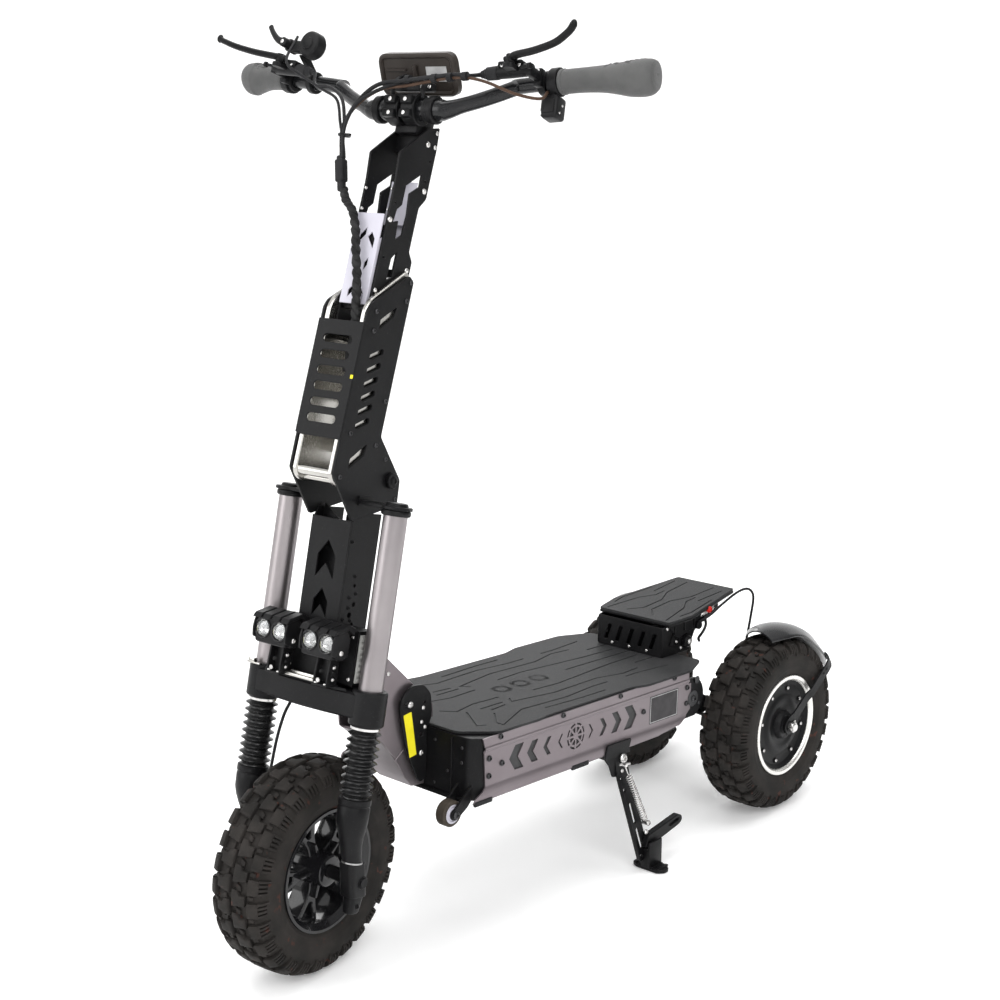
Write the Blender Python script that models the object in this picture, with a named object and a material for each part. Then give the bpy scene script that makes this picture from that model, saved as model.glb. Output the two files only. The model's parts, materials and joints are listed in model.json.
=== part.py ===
"""Three-wheeled off-road electric kick scooter: one steered front wheel, two rear hub-motor wheels.

Lengths are millimetres and angles degrees in this file; MM turns them into the scene's metres.
The front of the scooter looks along -Y, the rider's left hand is at +X and the ground is z = 0.
Fork pieces use the fork frame: X across, -Y forward of the steering axis, Z up along the fork.
Stem pieces use the stem frame, which leans further back, and deck pieces use the deck frame.
"""

import math

import bmesh
import bpy
from mathutils import Matrix, Vector

MM = 0.001
GAP = 0.3                    # clearance between pieces that touch

# Whole scooter
CENTRE_X = -4.0              # centre of the overall width and length, moved to the origin
CENTRE_Y = 507.5
TYRE_R = 165.0
TYRE_HALF_W = 52.0
WHEEL_BASE = 1012.0
TRACK = 324.0

# Steering and fork
RAKE = 12.26
STEER_ANGLE = 6.75           # the bars stand turned this far to the rider's left
AXLE_BEHIND = 3.98           # front axle behind the steering axis
FORK_X = 102.0
FORK_F = 32.5                # fork tubes ahead of the steering axis
TUBE_R = 18.0
STANCHION_R = 14.0
STANCHION_END = 108.0
CLAMP_LOW = 240.0
CLAMP_HIGH = 286.0
TUBE_TOP = 546.0
COLUMN_HALF = 38.0
BAR_R = 11.1
BAR_CLAMP_R = 15.9

# Stem
STEM_F = 50.0                # origin of the stem frame in the fork frame
STEM_S = 593.0
STEM_LEAN = 6.0
FOLD_A = -67.7               # fold pin, forward and up in the stem frame
FOLD_B = 6.1
PLATE_X = 38.3               # inner face of the outer stem plates
PLATE_T = 4.7
INNER_X = 29.6
INNER_T = 4.6
UPPER_X = 25.2
UPPER_T = 4.0

# Deck
DECK_Y = 500.0
DECK_Z = 224.0               # underside of the deck at DECK_Y
DECK_SLOPE = 2.05            # the deck is lower at the rear
DECK_HALF = 145.0
DECK_FRONT = -285.0
DECK_BACK = 243.0
DECK_H = 95.0
PIVOT_Y = 286.0              # swing arm pivot in the deck frame
PIVOT_Z = 48.2
REAR_AXLE_R = 8.0

FRAMES = {}


# ---------------------------------------------------------------- frames and nodes

def frame(name, parent, origin, rotation=None):
    """An empty at origin (millimetres) in its parent's frame, with an optional rotation matrix."""
    local = Matrix.Translation(Vector(origin) * MM) @ (rotation or Matrix())
    empty = bpy.data.objects.new(name, None)
    empty.empty_display_size = 0.03
    bpy.context.collection.objects.link(empty)
    world = local
    if parent:
        empty.parent = bpy.data.objects[parent]
        world = FRAMES[parent] @ local
    empty.matrix_local = local
    FRAMES[name] = world


def about_x(degrees):
    return Matrix.Rotation(math.radians(degrees), 4, "X")


def about_z(degrees):
    return Matrix.Rotation(math.radians(degrees), 4, "Z")


def finish(name, colour, roughness=0.5, metallic=0.0):
    """A Principled material, made once for each name."""
    material = bpy.data.materials.get(name)
    if material is None:
        material = bpy.data.materials.new(name)
        material.use_nodes = True
        shader = material.node_tree.nodes["Principled BSDF"]
        shader.inputs["Base Color"].default_value = (*colour, 1.0)
        shader.inputs["Roughness"].default_value = roughness
        shader.inputs["Metallic"].default_value = metallic
    return material


def black_paint():
    return finish("black_paint", (0.012, 0.012, 0.013), 0.42, 0.0)


def tyre_rubber():
    return finish("tyre_rubber", (0.018, 0.017, 0.016), 0.8, 0.0)


def soft_rubber():
    return finish("soft_rubber", (0.02, 0.02, 0.021), 0.65, 0.0)


def grip_rubber():
    return finish("grip_rubber", (0.11, 0.11, 0.11), 0.7, 0.0)


def anodised():
    return finish("anodised_aluminium", (0.42, 0.39, 0.39), 0.35, 0.9)


def polished():
    return finish("polished_aluminium", (0.72, 0.71, 0.68), 0.18, 1.0)


def dark_plastic():
    return finish("dark_plastic", (0.02, 0.02, 0.022), 0.5, 0.0)


def white_paint():
    return finish("white_paint", (0.75, 0.74, 0.78), 0.35, 0.1)


def zinc():
    return finish("zinc_steel", (0.6, 0.6, 0.6), 0.3, 1.0)


def panel_metal():
    return finish("panel_metal", (0.36, 0.33, 0.34), 0.4, 0.6)


def node(name, bm, shape_frame, material, carrier=None):
    """Turn a bmesh given in shape_frame (millimetres) into a node carried by an empty."""
    carrier = carrier or shape_frame
    to_carrier = FRAMES[carrier].inverted() @ FRAMES[shape_frame] @ Matrix.Scale(MM, 4)
    bm.transform(to_carrier)
    bmesh.ops.recalc_face_normals(bm, faces=bm.faces)
    mesh = bpy.data.meshes.new(name)
    bm.to_mesh(mesh)
    bm.free()
    mesh.materials.append(material)
    mesh.shade_smooth()
    mesh.set_sharp_from_angle(angle=math.radians(35))
    piece = bpy.data.objects.new(name, mesh)
    piece.parent = bpy.data.objects[carrier]
    bpy.context.collection.objects.link(piece)
    return piece


def moved(bm, from_frame, to_frame):
    """The same shape given in another frame, both in millimetres."""
    change = Matrix.Scale(1 / MM, 4) @ FRAMES[to_frame].inverted() @ FRAMES[from_frame]
    bm.transform(change @ Matrix.Scale(MM, 4))
    return bm


# ---------------------------------------------------------------- shapes

def skin(rings, closed=False):
    """Faces between rings of points; open stacks get end caps."""
    bm = bmesh.new()
    loops = [[bm.verts.new(p) for p in ring] for ring in rings]
    pairs = list(zip(loops, loops[1:]))
    if closed:
        pairs.append((loops[-1], loops[0]))
    for low, high in pairs:
        count = len(low)
        for i in range(count):
            j = (i + 1) % count
            bm.faces.new((low[i], low[j], high[j], high[i]))
    if not closed:
        bm.faces.new(list(reversed(loops[0])))
        bm.faces.new(loops[-1])
    bmesh.ops.recalc_face_normals(bm, faces=bm.faces)
    return bm


def prism(outline, low, high, axis="X"):
    """An outline of two coordinates, extruded along the third axis between low and high."""
    order = {"X": lambda u, v, h: (h, u, v), "Y": lambda u, v, h: (u, h, v),
             "Z": lambda u, v, h: (u, v, h)}[axis]
    return skin([[order(u, v, h) for u, v in outline] for h in (low, high)])


def box(x0, x1, y0, y1, z0, z1):
    return prism([(x0, y0), (x1, y0), (x1, y1), (x0, y1)], z0, z1, "Z")


def lathe(profile, centre, axis="X", segments=24, phase=0.0):
    """Spin a closed profile of (along, radius) points about an axis through centre."""
    axes = {"X": (0, 1, 2), "Y": (1, 2, 0), "Z": (2, 0, 1)}[axis]
    rings = []
    for i in range(segments):
        turn = phase + 2 * math.pi * i / segments
        ring = []
        for along, radius in profile:
            point = [0.0, 0.0, 0.0]
            point[axes[0]] = along
            point[axes[1]] = radius * math.cos(turn)
            point[axes[2]] = radius * math.sin(turn)
            ring.append([p + c for p, c in zip(point, centre)])
        rings.append(ring)
    return skin(rings, closed=True)


def rod(start, end, radius, segments=16, end_radius=None):
    """A solid round bar from start to end."""
    start, end = Vector(start), Vector(end)
    axis = (end - start).normalized()
    side = axis.cross(Vector((0, 0, 1)) if abs(axis.z) < 0.9 else Vector((0, 1, 0))).normalized()
    other = axis.cross(side)
    rings = []
    for centre, r in ((start, radius), (end, end_radius or radius)):
        turns = [2 * math.pi * i / segments for i in range(segments)]
        rings.append([centre + side * r * math.cos(t) + other * r * math.sin(t) for t in turns])
    return skin(rings)


def sweep(points, radii, segments=8):
    """A round tube along a list of points, with one radius for each."""
    points = [Vector(p) for p in points]
    rings = []
    side = None
    for i, point in enumerate(points):
        ahead = points[min(i + 1, len(points) - 1)]
        behind = points[max(i - 1, 0)]
        axis = (ahead - behind).normalized()
        if side is None:
            side = axis.cross(Vector((0.3, 1, 0.2))).normalized()
        side = (side - axis * side.dot(axis)).normalized()
        other = axis.cross(side)
        turns = [2 * math.pi * k / segments for k in range(segments)]
        rings.append([point + (side * math.cos(t) + other * math.sin(t)) * radii[i] for t in turns])
    return skin(rings)


def smooth_path(points, steps):
    """Points of a Catmull-Rom curve through the given points."""
    points = [Vector(p) for p in points]
    padded = [points[0] * 2 - points[1]] + points + [points[-1] * 2 - points[-2]]
    path = []
    for i in range(len(points) - 1):
        a, b, c, d = padded[i:i + 4]
        for k in range(steps):
            t = k / steps
            path.append(0.5 * (2 * b + (c - a) * t + (2 * a - 5 * b + 4 * c - d) * t * t
                               + (3 * b - a - 3 * c + d) * t ** 3))
    path.append(points[-1])
    return path


def arc(centre, radius, start, end, count):
    """Points on a circle in a plane, angles in degrees."""
    turns = [math.radians(start + (end - start) * i / (count - 1)) for i in range(count)]
    return [(centre[0] + radius * math.cos(t), centre[1] + radius * math.sin(t)) for t in turns]


def flipped(outline):
    """Forward-and-up coordinates turned into a frame's own Y and Z."""
    return [(-u, v) for u, v in outline]


def boolean(base, tool, operation):
    """Apply one EXACT Boolean to a bmesh and return the result."""
    objects = []
    for bm in (base, tool):
        bmesh.ops.recalc_face_normals(bm, faces=bm.faces)
        bmesh.ops.triangulate(bm, faces=[f for f in bm.faces if len(f.verts) > 4])
        mesh = bpy.data.meshes.new("operand")
        bm.to_mesh(mesh)
        bm.free()
        piece = bpy.data.objects.new("operand", mesh)
        bpy.context.collection.objects.link(piece)
        objects.append(piece)
    modifier = objects[0].modifiers.new("join", "BOOLEAN")
    modifier.operation = operation
    modifier.object = objects[1]
    view = bpy.context.evaluated_depsgraph_get()
    result = bmesh.new()
    result.from_mesh(objects[0].evaluated_get(view).to_mesh())
    for piece in objects:
        mesh = piece.data
        bpy.data.objects.remove(piece)
        bpy.data.meshes.remove(mesh)
    bmesh.ops.dissolve_degenerate(result, edges=result.edges, dist=0.001)
    return result


def union(*shapes):
    result = shapes[0]
    for shape in shapes[1:]:
        result = boolean(result, shape, "UNION")
    return result


def cut(base, *tools):
    for tool in tools:
        base = boolean(base, tool, "DIFFERENCE")
    return base


def mirrored(side, low, high):
    """A span across the scooter, on the left for side = 1 and on the right for side = -1."""
    return (low, high) if side > 0 else (-high, -low)


SIDES = (("left", 1), ("right", -1))


# ---------------------------------------------------------------- frames of the scooter

def make_frames():
    axis_point = (0, -AXLE_BEHIND * math.cos(math.radians(RAKE)),
                  TYRE_R + AXLE_BEHIND * math.sin(math.radians(RAKE)))
    frame("scooter", None, (-CENTRE_X, -CENTRE_Y, 0))
    frame("head", "scooter", axis_point, about_x(-RAKE))
    frame("steering_axis", "scooter", axis_point, about_x(-RAKE) @ about_z(STEER_ANGLE))
    frame("fork_slide", "steering_axis", (0, 0, 0))
    frame("front_wheel_axis", "fork_slide", (0, AXLE_BEHIND, 0), about_x(RAKE))
    frame("stem_rake", "steering_axis", (0, -STEM_F, STEM_S), about_x(-STEM_LEAN))
    frame("stem_fold", "stem_rake", (0, -FOLD_A, FOLD_B))
    frame("deck", "scooter", (0, DECK_Y, DECK_Z), about_x(-DECK_SLOPE))
    frame("swing_pivot", "deck", (0, PIVOT_Y, PIVOT_Z), about_x(DECK_SLOPE))
    for name, side in SIDES:
        pivot = frame_point("scooter", "swing_pivot", (side * TRACK / 2, WHEEL_BASE, TYRE_R))
        frame("rear_axle_" + name, "swing_pivot", pivot)
        frame("roller_axis_" + name, "deck", (side * ROLLER_X, ROLLER_Y, ROLLER_Z))
        hand = frame_point("fork_slide", "stem_fold", BAR_END[side])
        frame("hand_" + name, "stem_fold", hand, hand_rotation(side))
        frame("brake_pivot_" + name, "hand_" + name, (-side * LEVER_IN[side], -LEVER_AHEAD, LEVER_UP))
    trigger = (THROTTLE_IN - TRIGGER_OUT, -THROTTLE_AHEAD - TRIGGER_AHEAD, THROTTLE_UP - 5)
    frame("throttle_pivot", "hand_right", trigger)
    frame("horn_slide", "hand_left", (-HORN_IN, 16, -36))
    frame("stand_pivot", "scooter", STAND_PIVOT)


def frame_point(from_frame, to_frame, point):
    """A point in millimetres of one frame, given in another."""
    world = FRAMES[from_frame] @ (Vector(point) * MM)
    return (FRAMES[to_frame].inverted() @ world) / MM


def hand_rotation(side):
    """Turn the hand frame so that its X runs along the straight end of the handlebar."""
    out = (Vector(BAR_END[side]) - Vector(BAR_BEND[side])).normalized() * side
    to_fold = (FRAMES["stem_fold"].inverted() @ FRAMES["fork_slide"]).to_3x3()
    x_axis = (to_fold @ out).normalized()
    y_axis = Vector((0, 0, 1)).cross(x_axis).normalized()
    z_axis = x_axis.cross(y_axis)
    return Matrix((x_axis, y_axis, z_axis)).transposed().to_4x4()


# ---------------------------------------------------------------- front wheel and fork

RIM_FLANGE_R = 96.0
RIM_SEAT_R = 88.0
RIM_HALF = 45.0
FRONT_HUB_HALF = 47.0
SPOKES = 5
DISC_R = 70.0


def tyre():
    """A hollow tyre, open between its beads, centred on its axle."""
    half, top = TYRE_HALF_W, TYRE_R
    outer = [(40.5, 88.4), (41, 99), (49, 109), (half, 131), (47, 152), (28, 163.2), (0, top)]
    inner = [(30, 88.4), (33, 101), (43, 130), (34, 150), (0, 156)]
    outer += [(-x, r) for x, r in reversed(outer[:-1])]
    inner = [(-x, r) for x, r in inner] + [(x, r) for x, r in reversed(inner[:-1])]
    return lathe(outer + inner, (0, 0, 0), phase=-math.pi / 2)


def front_rim():
    barrel = lathe([(RIM_HALF, 92), (RIM_HALF, RIM_FLANGE_R), (41.3, RIM_FLANGE_R), (41.3, RIM_SEAT_R),
                    (-41.3, RIM_SEAT_R), (-41.3, RIM_FLANGE_R), (-RIM_HALF, RIM_FLANGE_R),
                    (-RIM_HALF, 92), (-38, 83), (38, 83)], (0, 0, 0))
    shape = lathe([(FRONT_HUB_HALF, 10.5), (FRONT_HUB_HALF, 27), (-FRONT_HUB_HALF, 27),
                   (-FRONT_HUB_HALF, 10.5)], (0, 0, 0))
    for i in range(SPOKES):
        spoke = box(-9, 9, -8, 8, 20, 86)
        spoke.transform(Matrix.Rotation(2 * math.pi * i / SPOKES, 4, "X"))
        shape = union(shape, spoke)
    return union(barrel, shape)


def fork_leg(side):
    """Lower fork leg: a round socket for the stanchion that leads down to the axle block."""
    sections = [(130, 102, 32.5, 24, 24), (92, 102, 32.5, 24, 24), (72, 101.5, 29, 17.5, 18),
                (45, 99, 20, 14, 18), (15, 96, 4, 12.5, 18), (-25, 95, -5, 12.5, 17), (-50, 94, -5, 10, 12)]
    rings = []
    for up, across, ahead, half_x, half_f in sections:
        turns = [2 * math.pi * i / 16 for i in range(16)]
        rings.append([(side * across + half_x * math.cos(t), -ahead + half_f * math.sin(t), up)
                      for t in turns])
    socket = rod((side * FORK_X, -FORK_F, 76), (side * FORK_X, -FORK_F, 131), STANCHION_R + 0.4)
    bore = rod((side * 70, AXLE_BEHIND, 0), (side * 120, AXLE_BEHIND, 0), 10.3)
    return cut(skin(rings), socket, bore)


def gaiter(side):
    """A pleated rubber sleeve between the leg and the lower clamp."""
    low, high, pleats = 130.5, 237.6, 6
    outer = []
    for i in range(pleats * 2 + 1):
        outer.append((low + (high - low) * i / (pleats * 2), 25.0 if i % 2 else 20.5))
    profile = outer + [(high, 15.2), (low, 15.2)]
    return lathe(profile, (side * FORK_X, -FORK_F, 0), "Z", 12)


def fork_tube(side):
    profile = [(STANCHION_END, 10), (STANCHION_END, STANCHION_R), (241, STANCHION_R), (241, TUBE_R),
               (TUBE_TOP, TUBE_R), (TUBE_TOP, 22), (554.5, 22), (554.5, 10)]
    return lathe(profile, (side * FORK_X, -FORK_F, 0), "Z", 16)


def lower_clamp():
    half = [(0, 66), (34, 64), (66, 58), (104, 58), (126, 44), (126, 20), (104, 7), (56, -6), (28, -28)]
    outline = half + [(-x, f) for x, f in reversed(half[1:])]
    shape = prism([(x, -f) for x, f in outline], CLAMP_LOW, CLAMP_HIGH, "Z")
    for _, side in SIDES:
        boss = rod((side * FORK_X, -FORK_F, 238), (side * FORK_X, -FORK_F, 289.5), 26.5)
        shape = union(shape, boss)
    shape = union(shape, rod((0, 0, 270), (0, 0, 532), 12.5))
    for _, side in SIDES:
        bore = rod((side * FORK_X, -FORK_F, 230), (side * FORK_X, -FORK_F, 300), TUBE_R + GAP)
        shape = cut(shape, bore)
    return shape


def steering_column():
    """A channel round the head tube, open at the back, with a cheek box on each side."""
    low, high, front, back = CLAMP_HIGH + GAP, 540.0, 52.0, -15.0
    half = COLUMN_HALF
    shape = prism([(-half, -front), (half, -front), (half, -back), (half - 3, -back),
                   (half - 3, -front + 5), (-half + 3, -front + 5), (-half + 3, -back), (-half, -back)],
                  low, 527, "Z")
    for _, side in SIDES:
        x0, x1 = mirrored(side, half - 3, half)
        shape = union(shape, box(x0, x1, -46, -back, 520, high))
        x0, x1 = mirrored(side, half - 1, 80)
        cheek = box(x0, x1, -50, -12, 289.9, 372)
        x0, x1 = mirrored(side, half + 2, 77)
        shape = union(shape, cut(cheek, box(x0, x1, -47, -5, 293, 369)))
    deckle = box(-half + 1, half - 1, -48, -back, 506, 512)
    shape = union(shape, deckle)
    return cut(shape, rod((0, 0, 500), (0, 0, 520), 12.8))


def headlight(side):
    """A twin-lens lamp on a leg that stands on the lower clamp."""
    centre = side * 46
    body = [(-98, 331), (-98, 368), (-90, 377), (-72, 377), (-64, 370), (-64, 334), (-70, 328), (-94, 328)]
    shape = prism(body, centre - 32, centre + 32)
    leg = box(centre - 9, centre + 9, -80, -66, 288, 330)
    foot = box(centre - 14, centre + 14, -84, -54, CLAMP_HIGH + GAP, 291)
    shape = union(shape, leg, foot)
    for offset in (-17, 17):
        x = centre + offset
        shape = cut(shape, rod((x, -101, 351), (x, -84, 351), 14, 16, 8))
    return shape


def front_caliper():
    """Caliper that straddles the disc, with its arm to the right-hand leg."""
    shape = box(-62, -41, -46, -22, 34, 64)
    shape = union(shape, box(-84, -58, -38, -22, 42, 58))
    return cut(shape, rod((-51.3, AXLE_BEHIND, 0), (-47.2, AXLE_BEHIND, 0), DISC_R + 1.5, 32))


HOSE_ROUTE = [(-62, -14, 236), (-66, -20, 215), (-68, -26, 180), (-68, -30, 140), (-67, -34, 105),
              (-62, -35, 86), (-60, -34, 67.5)]


def make_front_wheel():
    wheel = "front_wheel_axis"
    node("front_tyre", tyre(), wheel, tyre_rubber())
    node("front_rim", front_rim(), wheel, black_paint())
    disc = lathe([(-48, 27.5), (-48, DISC_R), (-50.5, DISC_R), (-50.5, 27.5)], (0, 0, 0))
    lug = lathe([(-47.3, 10.5), (-47.3, 30), (-52, 30), (-52, 10.5)], (0, 0, 0))
    node("front_brake_disc", union(disc, lug), wheel, zinc())
    node("front_axle", rod((-111, AXLE_BEHIND, 0), (111, AXLE_BEHIND, 0), 10.0), "fork_slide", zinc())
    node("front_caliper", front_caliper(), "fork_slide", black_paint())
    node("front_brake_hose", sweep(smooth_path(HOSE_ROUTE, 3), [2.5] * 19, 8), "fork_slide", soft_rubber())


def make_fork():
    for name, side in SIDES:
        node("fork_leg_" + name, fork_leg(side), "fork_slide", black_paint())
        node("gaiter_" + name, gaiter(side), "fork_slide", soft_rubber())
        node("fork_tube_" + name, fork_tube(side), "steering_axis", anodised())
        node("headlight_" + name, headlight(side), "steering_axis", dark_plastic())
    node("lower_clamp", lower_clamp(), "steering_axis", black_paint())
    node("steering_column", steering_column(), "steering_axis", black_paint())


# ---------------------------------------------------------------- stem

OUTER_OUTLINE = [(62.5, -6), (62.5, 234), (57, 245.5), (-14.4, 305), (-26.4, 299), (-26, 65),
                 (-91, 10.6), (-96.4, -27), (-0.5, -66)]
UPPER_OUTLINE = [(46, 200), (45, 430), (49, 471), (-3, 524), (-29, 534), (-32, 502), (-31.5, 425),
                 (-19, 408), (-18, 341), (-29, 329), (-28, 200)]
UPPER_ZIGZAG = [(-10, 457), (20, 430), (20, 401), (29, 392), (32, 372), (21, 377), (19, 349),
                (6, 360), (4, 391), (8, 422), (-11, 438)]
UPPER_SLOT = [(9, 334), (19, 321), (20, 289), (9, 296)]
OUTER_WINDOWS = ([(0, 254), (30, 228), (29, 213), (2, 239)], [(2.6, 49), (33, 21.5), (33, 7), (4, 32)])
STEM_SLOTS = 3
COVER_SLOTS = 6


def stem_plate(side):
    """Outer stem plate with the arm that ties it to the top of its fork tube."""
    x0, x1 = mirrored(side, PLATE_X, PLATE_X + PLATE_T)
    shape = prism(flipped(OUTER_OUTLINE), x0, x1)
    for window in OUTER_WINDOWS:
        shape = cut(shape, prism(flipped(window), x0 - side, x1 + side))
    for i in range(STEM_SLOTS):
        low = 82 + 32 * i
        slot = [(4, low + 18), (32, low + 2), (32, low + 12), (4, low + 28)]
        shape = cut(shape, prism(flipped(slot), x0 - 1, x1 + 1))
    pin = rod((x0 - 1, -FOLD_A, FOLD_B), (x1 + 1, -FOLD_A, FOLD_B), 8.3)
    shape = moved(cut(shape, pin), "stem_rake", "steering_axis")
    inner = PLATE_X + PLATE_T - 1
    arm = [(inner, -52), (90, -50), (104, -54), (124, -44), (124, -21), (104, -10), (90, -14), (inner, -20)]
    outline = [(side * x, y) for x, y in arm]
    shape = union(shape, prism(outline, 554.9, 560, "Z"))
    return union(shape, rod((side * FORK_X, -FORK_F, 558), (side * FORK_X, -FORK_F, 565), 16))


def stem_cover():
    half = PLATE_X + PLATE_T
    shape = box(-half, half, -65.3, -62.8, 44, 216)
    for i in range(COVER_SLOTS):
        middle = 71 + 23.4 * i
        outline = arc((17, middle), 6, 90, -90, 5) + arc((-17, middle), 6, -90, -270, 5)
        shape = cut(shape, prism(outline, -68, -60, "Y"))
    return shape


def inner_frame():
    """Two polished plates joined by round spacers and by the fold knuckle."""
    knuckle = arc((FOLD_A, FOLD_B), 13, 110, 290, 7)
    outline = [(61, -8), (61, 236), (54, 252), (-12, 311), (-24, 304), (-24, 70), (-50, 36)]
    outline += knuckle + [(43, -22), (55, -16)]
    bars = [rod((-INNER_X - 1, -FOLD_A, FOLD_B), (INNER_X + 1, -FOLD_A, FOLD_B), 13)]
    for ahead, up, radius in ((51, -5, 6), (36, -12, 5), (-14, 110, 5), (20, 190, 5)):
        bars.append(rod((-INNER_X - 1, -ahead, up), (INNER_X + 1, -ahead, up), radius, 10))
    plates = []
    for _, side in SIDES:
        x0, x1 = mirrored(side, INNER_X, INNER_X + INNER_T)
        plates.append(prism(flipped(outline), x0, x1))
    body = union(plates[0], *bars, plates[1])
    return cut(body, rod((-50, -FOLD_A, FOLD_B), (50, -FOLD_A, FOLD_B), 8.3))


def upper_plate(side):
    x0, x1 = mirrored(side, UPPER_X, UPPER_X + UPPER_T)
    shape = prism(flipped(UPPER_OUTLINE), x0, x1)
    for window in (UPPER_ZIGZAG, UPPER_SLOT):
        shape = cut(shape, prism(flipped(window), x0 - 1, x1 + 1))
    return shape


def fold_pin():
    half = PLATE_X + PLATE_T + GAP
    shaft = rod((-half - 6, -FOLD_A, FOLD_B), (half + 6, -FOLD_A, FOLD_B), 8.0)
    for _, side in SIDES:
        x0, x1 = mirrored(side, half, half + 7)
        shaft = union(shaft, rod((x0, -FOLD_A, FOLD_B), (x1, -FOLD_A, FOLD_B), 12))
    return shaft


def make_stem():
    for name, side in SIDES:
        node("stem_plate_" + name, stem_plate(side), "steering_axis", black_paint())
        node("upper_plate_" + name, upper_plate(side), "stem_rake", black_paint(), "stem_fold")
    node("stem_cover", stem_cover(), "stem_rake", black_paint())
    node("fold_pin", fold_pin(), "stem_rake", zinc())
    node("stem_inner_frame", inner_frame(), "stem_rake", polished(), "stem_fold")
    node("stem_insert", box(-24.8, 24.8, -50.5, -47.5, 244, 379), "stem_rake", white_paint(), "stem_fold")


# ---------------------------------------------------------------- handlebar and controls

BAR_MIDDLE = (0, -10, 1137)
BAR_BEND = {1: (183, 28, 1183), -1: (-183, 28, 1183)}
BAR_END = {1: (381, 40, 1203), -1: (-381, 40, 1203)}
GRIP_LENGTH = {1: 145.0, -1: 92.0}
BORE_R = BAR_R + 0.6         # clearance bore of the pieces clamped round the bar
LEVER_IN = {1: 196.0, -1: 131.0}     # brake lever pivots, inward from the ends of the bar
RING_IN = 24.0               # brake clamp ring, outward from the lever's pivot
LEVER_AHEAD = 62.0
LEVER_UP = 16.0
THROTTLE_IN = 153.0
THROTTLE_AHEAD = 40.0        # throttle housing, ahead of the bar and above it
THROTTLE_UP = 46.0
TRIGGER_OUT = 27.0          # trigger pivot, outward from the throttle's clamp ring
TRIGGER_AHEAD = 18.0
HORN_IN = 156.0


def handlebar():
    half = [(0, -10, 1137, BAR_CLAMP_R), (58, -10, 1137, BAR_CLAMP_R), (72, -9, 1138, 13.5),
            (92, -4, 1145, BAR_R), (118, 4, 1155, BAR_R), (144, 14, 1167, BAR_R), (164, 22, 1177, BAR_R),
            (*BAR_BEND[1], BAR_R), (*BAR_END[1], BAR_R)]
    stations = [(-x, y, z, r) for x, y, z, r in reversed(half[1:])] + half
    return sweep([s[:3] for s in stations], [s[3] for s in stations], 12)


def clamp_block():
    """Stem head: a split collar round the bar on a block between the upper plates."""
    collar = rod((-56, -10, 1137), (56, -10, 1137), 24)
    block = moved(box(-24.8, 24.8, 2, 27, 486, 526), "stem_rake", "steering_axis")
    neck = moved(box(-20, 20, -14, 24, 518, 540), "stem_rake", "steering_axis")
    bore = sweep([(-70, -10, 1137), (70, -10, 1137)], [BAR_CLAMP_R + 0.5] * 2, 24)
    return cut(union(collar, neck, block), bore)


def grip(side):
    """Grip in the left hand's frame, running inward from the end of the bar."""
    length = GRIP_LENGTH[side]
    profile = [(2.2, BORE_R), (3, 16), (1, 20), (-8, 23.5), (-24, 24.5), (-0.4 * length, 21.5),
               (-0.65 * length, 18), (-0.9 * length, 17.5), (-length, 18), (-length, BORE_R)]
    return lathe(profile, (0, 0, 0), "X", 16)


def collar(inward, width, radius=17.0):
    """A clamp ring round the bar, centred at a distance inward from its end."""
    return lathe([(-inward - width / 2, BORE_R), (-inward - width / 2, radius),
                  (-inward + width / 2, radius), (-inward + width / 2, BORE_R)], (0, 0, 0), "X", 16)


def brake_cylinder(side):
    """Master cylinder ahead of the bar, with its clamp ring; modelled for the left hand."""
    x = -LEVER_IN[side]
    ring = collar(-x - RING_IN, 13)
    arm = box(x + RING_IN - 6, x + RING_IN + 6, -50, -14, -6, 8)
    body = rod((x - 52, -44, 4), (x + RING_IN + 4, -44, 4), 9.5, 12)
    tongue = box(x - 8, x + 8, -LEVER_AHEAD - 8, -40, 0, 7)
    return union(ring, arm, body, tongue)


def brake_lever(side):
    """Lever blade from its pivot out to its tip, in the left hand's frame."""
    x, y, z = -LEVER_IN[side], -LEVER_AHEAD, LEVER_UP
    reach = [(-6, 1, 0), (12, -6, 1), (45, -14, 1), (80, -20, 6), (102, -26, 14), (114, -30, 26)]
    if side < 0:
        reach = [(-6, 1, 0), (12, -8, -1), (35, -24, -3), (62, -38, -2), (80, -46, 1), (90, -50, 4)]
    return sweep([(x + i, y + j, z + k) for i, j, k in reach], [5.0, 6.5, 5.5, 5.0, 4.5, 5.5], 8)


def mirror_x(bm):
    bm.transform(Matrix.Scale(-1, 4, (1, 0, 0)))
    bmesh.ops.reverse_faces(bm, faces=bm.faces)
    return bm


def throttle_pod():
    """Thumb-throttle housing ahead of the bar, in the right hand's frame."""
    x, y, z = THROTTLE_IN, -THROTTLE_AHEAD, THROTTLE_UP
    ring = collar(-x, 10)
    neck = prism([(-4, 13), (-13, 8), (y - 4, z - 16), (y + 8, z - 12)], x - 5, x + 5)
    body = rod((x + 16, y - 11, z), (x + 16, y + 11, z), 21)
    boss = rod((x - TRIGGER_OUT, y - 10, z - 5), (x - TRIGGER_OUT, y + 8, z - 5), 10, 12)
    bridge = box(x - TRIGGER_OUT, x + 16, y - 9, y + 7, z - 14, z + 4)
    return union(ring, neck, body, bridge, boss)


def throttle_trigger():
    """Finger trigger that turns on the front face of the throttle housing."""
    x, y, z = THROTTLE_IN - TRIGGER_OUT, -THROTTLE_AHEAD - TRIGGER_AHEAD, THROTTLE_UP - 5
    return sweep([(x, y, z), (x - 18, y, z + 4), (x - 33, y, z + 14), (x - 42, y, z + 23)], [7, 5.5, 4.5, 5], 8)


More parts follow.
